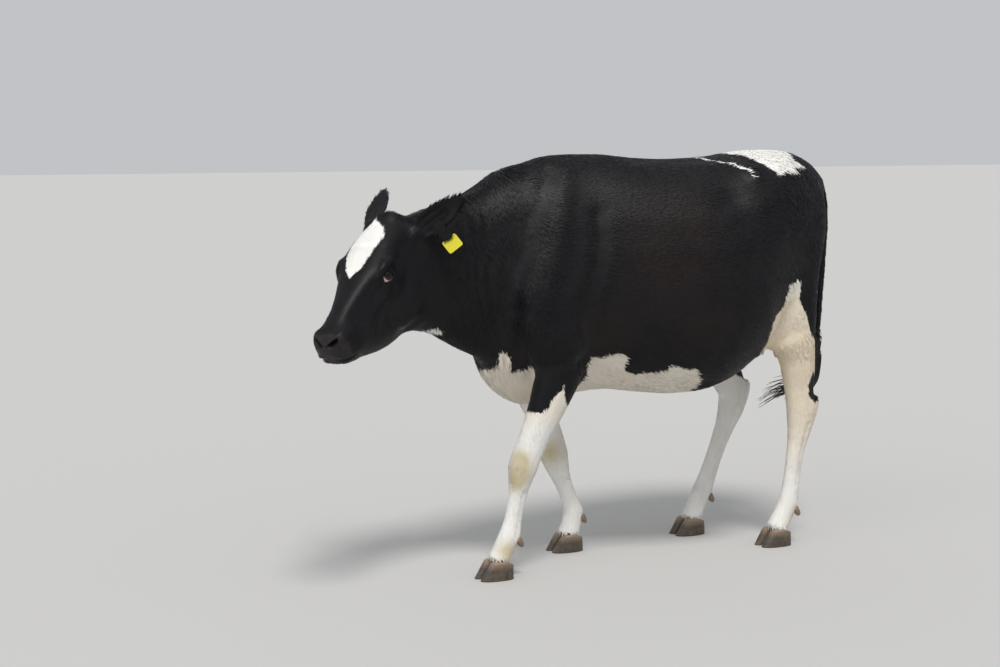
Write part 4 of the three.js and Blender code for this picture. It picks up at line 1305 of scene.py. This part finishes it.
def lids(out, material):
    """Both lids as one closed ring: the profile swept round the almond, from the eyeball out to the skin."""
    centre, forward, along, across = eye_frame(out)
    turn = turns(LID_TURNS)[:, None]
    x, y = opening(turn)
    profile = np.array(LID_PROFILE)
    away = unit(np.stack([np.cos(turn[:, 0]) * 0.8, np.sin(turn[:, 0])], 1))
    u = x + away[:, :1] * profile[:, 0]
    v = y + away[:, 1:] * profile[:, 0]
    ball = EYE_RADIUS + profile[:, 1]
    over_ball = np.sqrt(np.maximum(ball**2 - u**2 - v**2, 0.2 * ball**2))
    over_skin = skin_height(centre, forward, along, across, u, v) + profile[:, 2]
    height = over_ball * (1 - profile[:, 3]) + over_skin * profile[:, 3]
    height += 0.0016 * np.exp(-((profile[:, 0] - .0062) / .002) ** 2) * (np.sin(turn) > 0)
    points = centre + u[..., None] * along + v[..., None] * across + height[..., None] * forward
    points = np.einsum("sc,tcx->tsx", loop_weights(len(profile), LID_SAMPLES), points)
    verts = points.reshape(-1, 3)
    tris = torus_tris(LID_TURNS, LID_SAMPLES)
    none = np.zeros(len(verts))
    values = {**skin_values(verts), "white": none - .05, "wet": none, "pink": none}
    side = side_name(out)
    piece(f"lids_{side}", verts, outward(verts - centre, tris), material, (), values)
    lashes(side, centre, forward, along, across)


def lashes(side, centre, forward, along, across):
    """Lashes of the upper lid, longest at its middle, and a few short ones below."""
    rng = np.random.default_rng(41)
    turn = np.concatenate([np.linspace(0.25, np.pi - 0.2, 46), np.linspace(np.pi + .5, 2 * np.pi - .6, 16)])
    upper = np.sin(turn) > 0
    x, y = opening(turn)
    out_x, out_y = x + 0.0020 * np.cos(turn), y + 0.0022 * np.sin(turn)
    height = np.sqrt((EYE_RADIUS + 0.0022) ** 2 - np.minimum(out_x**2 + out_y**2, 0.85 * EYE_RADIUS**2))
    roots = centre + out_x[:, None] * along + out_y[:, None] * across + height[:, None] * forward
    outwards = unit(np.cos(turn)[:, None] * along * 0.8 + np.sin(turn)[:, None] * across)
    splay = np.where(upper, 0.55, 0.9)[:, None]
    lie = unit(forward * 0.75 + outwards * splay - across * 0.15 * upper[:, None])
    normal = laid(outwards, lie)
    size = np.where(upper, 0.006 + 0.011 * np.sin(turn), 0.005) * rng.uniform(.8, 1.15, len(turn))
    width, thick, lift = (np.full(len(turn), amount) for amount in (.0007, .0004, .35))
    bow = rng.normal(0, .12, len(turn))
    verts, tris, shade = tuft_arrays(roots, normal, lie, size, width, thick, lift, bow)
    obj = piece(f"lashes_{side}", verts, tris, COAT, (), {"white": np.full(len(verts), -.05)})
    obj.data.normals_split_custom_set_from_vertices(shade)


def flesh_material():
    """Wet pink flesh at the corner of the eye."""
    m = Nodes("wet_flesh")
    colour = m.blend(m.noise(m.place(), 500.0), rgb(.60, .30, .26), rgb(.75, .50, .44))
    m.set(Base_Color=colour, Roughness=0.18, Subsurface_Weight=0.1)
    return m.material


def eye_corner(out, material):
    """The third lid: a small ring-shaped roll of flesh on the eyeball, in the corner towards the nose."""
    centre, forward, along, across = eye_frame(out)
    rings, around = 20, 28
    s = np.linspace(0.02, np.pi - 0.02, rings)[:, None]
    t = turns(around)[None, :]
    u = 0.0255 + 0.0060 * np.sin(s) * np.cos(t)
    v = -0.0022 + 0.0044 * np.cos(s) * np.ones_like(t)
    base = np.sqrt(np.maximum((EYE_RADIUS + 0.0002) ** 2 - u**2 - v**2, 0.25 * EYE_RADIUS**2))
    height = base + 0.0016 * np.sin(s) * np.sin(t)
    points = centre + u[..., None] * along + v[..., None] * across + height[..., None] * forward
    verts, tris = closed_tube(points)
    tris = outward(verts - verts.mean(0), tris)
    piece(f"eye_corner_{side_name(out)}", verts, tris, material)


def eyes():
    """Both eyes, each with its ball, its lids and lashes, and the flesh in its corner."""
    wet, flesh_look = eye_material(), flesh_material()
    lid_look = coat_material("coat_lids", hairy=False)
    for out in (1, -1):
        eyeball(out, wet)
        lids(out, lid_look)
        eye_corner(out, flesh_look)


eyes()


# ---- Feet ----
def horn_material():
    """Grey-brown horn: upright streaks, growth rings that wander, a paler band below the hair, and mud."""
    m = Nodes("hoof_horn")
    waves = {"Vector": m.place(), "Scale": 30.0, "Distortion": 3.5, "Detail": 2.0}
    rings = m.add("ShaderNodeTexWave", waves, bands_direction="Z").outputs["Fac"]
    streak = m.noise(m.place((1, 1, .06)), 420.0, 3.0)
    colour = m.blend(m.spread(streak, .3, .7), rgb(.030, .024, .019), rgb(.095, .075, .052))
    colour = m.blend(m.spread(m.value_of("height"), .55, 1.0, 0, .75), colour, rgb(.34, .235, .165))
    colour = m.blend(m.spread(m.noise(m.place(), 30.0), .50, .72, 0, .6), colour, rgb(.15, .115, .07))
    height = m.math("ADD", rings, m.math("MULTIPLY", streak, .5))
    m.set(Base_Color=colour, Roughness=m.spread(streak, .3, .7, .38, .55), Normal=m.bump(height, .22, .0008))
    return m.material


TOE_LEAN, HEEL_LEAN = 0.34, 0.02  # how far toe and heel lean over the height, as shares of the length
HEEL_DROP = 0.16  # how much lower the coronet is at the heel, as a share of the height
HOOF_TAPER = 0.10  # how much narrower the claw is at the coronet


def hoof(name, material):
    """One claw: from sole to coronet its section shrinks and leans back; growth rings ripple its wall.

    Section: x = reach cos t |cos t|^(2/n - 1), y = half width sin t likewise; the toe bends to the middle.
    """
    low, high = (np.array(corner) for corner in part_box(name))
    size, middle = high - low, (high + low) / 2
    inner = np.sign(middle[1] - node_centre(name.rsplit("_claw_", 1)[0] + "_pastern")[1])
    rings, around = 25, 40
    s = np.concatenate([[0.0, 0.0, .02], np.linspace(.06, .90, rings - 7), [.94, .975, .995, 1.0]])[:, None]
    edge = np.concatenate([[0.72, 0.95, 1.0], np.ones(rings - 7), [.97, .90, .76, .50]])[:, None]
    t = turns(around)[None, :]
    toe, heel = low[0], high[0]
    front = toe + TOE_LEAN * size[0] * s
    back = heel - HEEL_LEAN * size[0] * s
    x = (front + back) / 2 - (back - front) / 2 * np.sign(np.cos(t)) * np.abs(np.cos(t)) ** 0.85 * edge
    half = size[1] / 2 * (1 - HOOF_TAPER * s) * edge * (1 - 0.10 * np.clip(np.cos(t), 0, 1))
    y = middle[1] + half * np.sign(np.sin(t)) * np.abs(np.sin(t)) ** 0.8
    y -= inner * 0.004 * np.clip(np.cos(t), 0, 1) ** 2 * (1 - s)
    wall = 1 + 0.006 * np.sin(s * 26 + 1.5 * np.cos(t)) * (s > .03) * (s < .9)
    x, y = middle[0] + (x - middle[0]) * wall, middle[1] + (y - middle[1]) * np.minimum(wall, 1.0)
    z = low[2] + s * size[2] * (1 - HEEL_DROP * np.clip(-np.cos(t), 0, 1))
    verts, tris = closed_tube(np.stack([x, y, z], -1))
    share = (verts[:, 2] - low[2]) / size[2]
    piece(f"hoof_{name.replace('claw_', '')}", verts, outward(verts - middle, tris), material, [name],
          {"height": share})


def dewclaw(name, material):
    """A blunt cone behind the fetlock, from its node's upper front to its lower back, domed at both ends."""
    low, high = (np.array(corner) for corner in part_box(name))
    middle = (low + high) / 2
    start = np.array([low[0] + .002, middle[1], high[2] - .010])
    tip = np.array([high[0] - .021, middle[1], low[2] + .014])
    rings, around = 16, 20
    s = np.linspace(0, 1, rings)[:, None]
    t = turns(around)[None, :]
    axis = unit(tip - start)
    side = np.array([0.0, 1.0, 0.0])
    other = np.cross(axis, side)
    dome = np.sqrt(np.clip(1 - (s * 1.16 - .16) ** 4, 0.01, 1))
    reach = (high[1] - low[1]) / 2 * 0.98 * dome * (1 - .25 * s)
    reach = reach * (1 + 0.03 * np.sin(s * 30))
    points = start + (tip - start) * s[..., None] + reach[..., None] * (
        np.cos(t)[..., None] * side + np.sin(t)[..., None] * other)
    verts, tris = closed_tube(points)
    piece(f"nub_{name}", verts, outward(verts - middle, tris), material, [name],
          {"height": np.full(len(verts), 0.9)})


def feet():
    """All claws and dewclaws."""
    horn = horn_material()
    for name in sorted(NODES):
        if "dewclaw" in name:
            dewclaw(name, horn)
        elif "claw" in name:
            hoof(name, horn)


feet()


# ---- Switch of the tail ----
SWITCH_LINE = [(1.060, -.040, .80), (1.0585, -.040, .74), (1.0485, -.044, .66), (1.0245, -.048, .605),
               (.9755, -.050, .585), (.9055, -.048, .585), (.850, -.046, .572), (.785, -.040, .545)]
SWITCH_LOCKS = 170
SWITCH_SAMPLES = 200  # points that its line is sampled at


def switch_material():
    """Black hair, brown on some locks in the lower half."""
    m = Nodes("switch_hair")
    along = m.value_of("along")
    strand = m.noise(m.place(), 300.0, 2.0)
    black = m.blend(strand, rgb(.006, .0055, .006), rgb(.022, .017, .014))
    brown = m.blend(strand, rgb(.10, .050, .020), rgb(.24, .125, .045))
    share = m.math("MULTIPLY", m.spread(along, .92, .72), m.spread(along, .45, .60))
    share = m.math("MULTIPLY", share, m.spread(m.value_of("tint"), .30, .75))
    m.set(Base_Color=m.blend(share, black, brown), Roughness=0.45, Specular_IOR_Level=0.4)
    return m.material


def switch():
    """Locks along the tail's end: thin tapering tubes that keep their place across the line, and wave."""
    rng = np.random.default_rng(51)
    count, rings, around = SWITCH_LOCKS, 26, 4
    line = curve_through(SWITCH_LINE, SWITCH_SAMPLES)
    last = SWITCH_SAMPLES - 1
    start = rng.uniform(0.0, 0.34, count)
    finish = np.clip(start + rng.uniform(0.35, 0.75, count), 0, 1.0)
    s = np.linspace(0, 1, rings)[None, :]
    place = (start[:, None] + (finish - start)[:, None] * s) * last
    low = np.minimum(place.astype(int), last - 1)
    centre = line[low] + (line[low + 1] - line[low]) * (place - low)[..., None]
    tangent = unit(line[low + 1] - line[low])
    side = unit(np.cross(tangent, [0.0, 0.0, 1.0]) + np.array([0, 1e-6, 0]))
    high = np.cross(side, tangent)
    turn, reach = rng.uniform(0, 2 * np.pi, count)[:, None], np.sqrt(rng.random(count))[:, None]
    body = 0.012 + 0.014 * np.sin(np.pi * np.clip(place / last, 0, 1)) ** 0.7
    wave = 0.010 * s * np.sin(6.28 * (s * rng.uniform(.6, 2.2, count)[:, None] + rng.random(count)[:, None]))
    sag = 0.036 * s**2.5 * rng.uniform(-1.0, 0.5, count)[:, None]
    a = body * reach * np.cos(turn) + wave
    b = body * reach * np.sin(turn) * 1.25 + sag
    path = centre + a[..., None] * side + b[..., None] * high
    thick = rng.uniform(.0013, .0028, count)[:, None] * (1 - 0.8 * s**2)
    ring = np.arange(around) * 2 * np.pi / around
    points = path[:, :, None, :] + thick[..., None, None] * (
        np.cos(ring)[:, None] * side[:, :, None, :] + np.sin(ring)[:, None] * high[:, :, None, :])
    verts, tris = merged([closed_tube(lock) for lock in points])
    per_lock = rings * around + 2
    share = place / last
    along = np.hstack([np.repeat(share, around, axis=1), share[:, [0, -1]]]).ravel()
    values = {"tint": np.repeat(rng.random(count), per_lock), "along": along}
    piece("switch_locks", verts, tris, switch_material(), ["tail_switch"], values)


switch()


# ---- Ear tag ----
def tag_material():
    """Yellow soft plastic with faint moulding grain and some dirt."""
    m = Nodes("tag_plastic")
    dirt = m.noise(m.place(), 140.0, 4.0)
    colour = m.blend(m.spread(dirt, .50, .80, 0, .5), rgb(.80, .70, .035), rgb(.45, .36, .06))
    m.set(Base_Color=colour, Roughness=m.spread(dirt, .3, .7, .32, .5), Normal=m.bump(dirt, .15, .0006))
    return m.material


TAG_LOOK = tag_material()
for tag_node in ("ear_tag_plate", "ear_tag_stud"):
    NODES[tag_node].data.materials.clear()
    NODES[tag_node].data.materials.append(TAG_LOOK)


# ---- Stage ----
FLOOR_HALF = 60.0


def floor():
    """One large square, level with the soles."""
    corners = np.array([(-1, -1, 0), (1, -1, 0), (1, 1, 0), (-1, 1, 0)]) * FLOOR_HALF
    obj = new_object("floor", corners, np.array([(0, 1, 2), (0, 2, 3)]))
    obj.data.materials.append(floor_material())


def aim_at(obj, place, target):
    """Puts a camera or light at a place and turns it to the target."""
    direction = Vector(target) - Vector(place)
    obj.location = place
    obj.rotation_euler = direction.to_track_quat("-Z", "Y").to_euler()


CAMERA_AT = (-3.3075, -5.909, 1.565)
CAMERA_HEADING = (0.454, 0.891)
CAMERA_DIP = np.radians(6.21)
LENS = 67.32  # focal length in millimetres, on a sensor 36 wide


def camera():
    """The camera, level from side to side, dipped a little."""
    data = bpy.data.cameras.new("camera")
    data.lens = LENS
    data.sensor_width = 36.0
    obj = bpy.data.objects.new("camera", data)
    bpy.context.scene.collection.objects.link(obj)
    level = np.array([*CAMERA_HEADING, 0.0])
    ahead = level / np.linalg.norm(level) * np.cos(CAMERA_DIP) - UP * np.sin(CAMERA_DIP)
    aim_at(obj, CAMERA_AT, np.array(CAMERA_AT) + ahead)
    bpy.context.scene.camera = obj


# Where each light comes from, its power, its angle across and its colour.
LIGHTS = {
    "key": ((-0.16, -0.56, 1.05), 2.1, 0.30, (1.0, 0.98, 0.95)),
    "fill": ((-0.85, -0.40, 0.55), 0.5, 0.8, (0.93, 0.96, 1.0)),
}
SKY = rgb(.86, .88, .91)
SKY_STRENGTH = 0.62


def sun(name, towards, power, spread, colour):
    """A far light: the same from everywhere, so the floor stays even to the horizon."""
    light = bpy.data.lights.new(name, "SUN")
    light.energy = power
    light.angle = spread
    light.color = colour
    obj = bpy.data.objects.new(name, light)
    bpy.context.scene.collection.objects.link(obj)
    aim_at(obj, np.array(towards) * 8, (0.0, 0.0, 0.0))


def studio():
    """Floor, lights, pale surroundings and camera."""
    floor()
    for name, light in LIGHTS.items():
        sun(name, *light)
    world = bpy.data.worlds.new("studio")
    world.use_nodes = True
    sky = world.node_tree.nodes["Background"]
    sky.inputs["Color"].default_value = SKY
    sky.inputs["Strength"].default_value = SKY_STRENGTH
    bpy.context.scene.world = world
    bpy.context.scene.view_settings.view_transform = "Standard"
    camera()


studio()
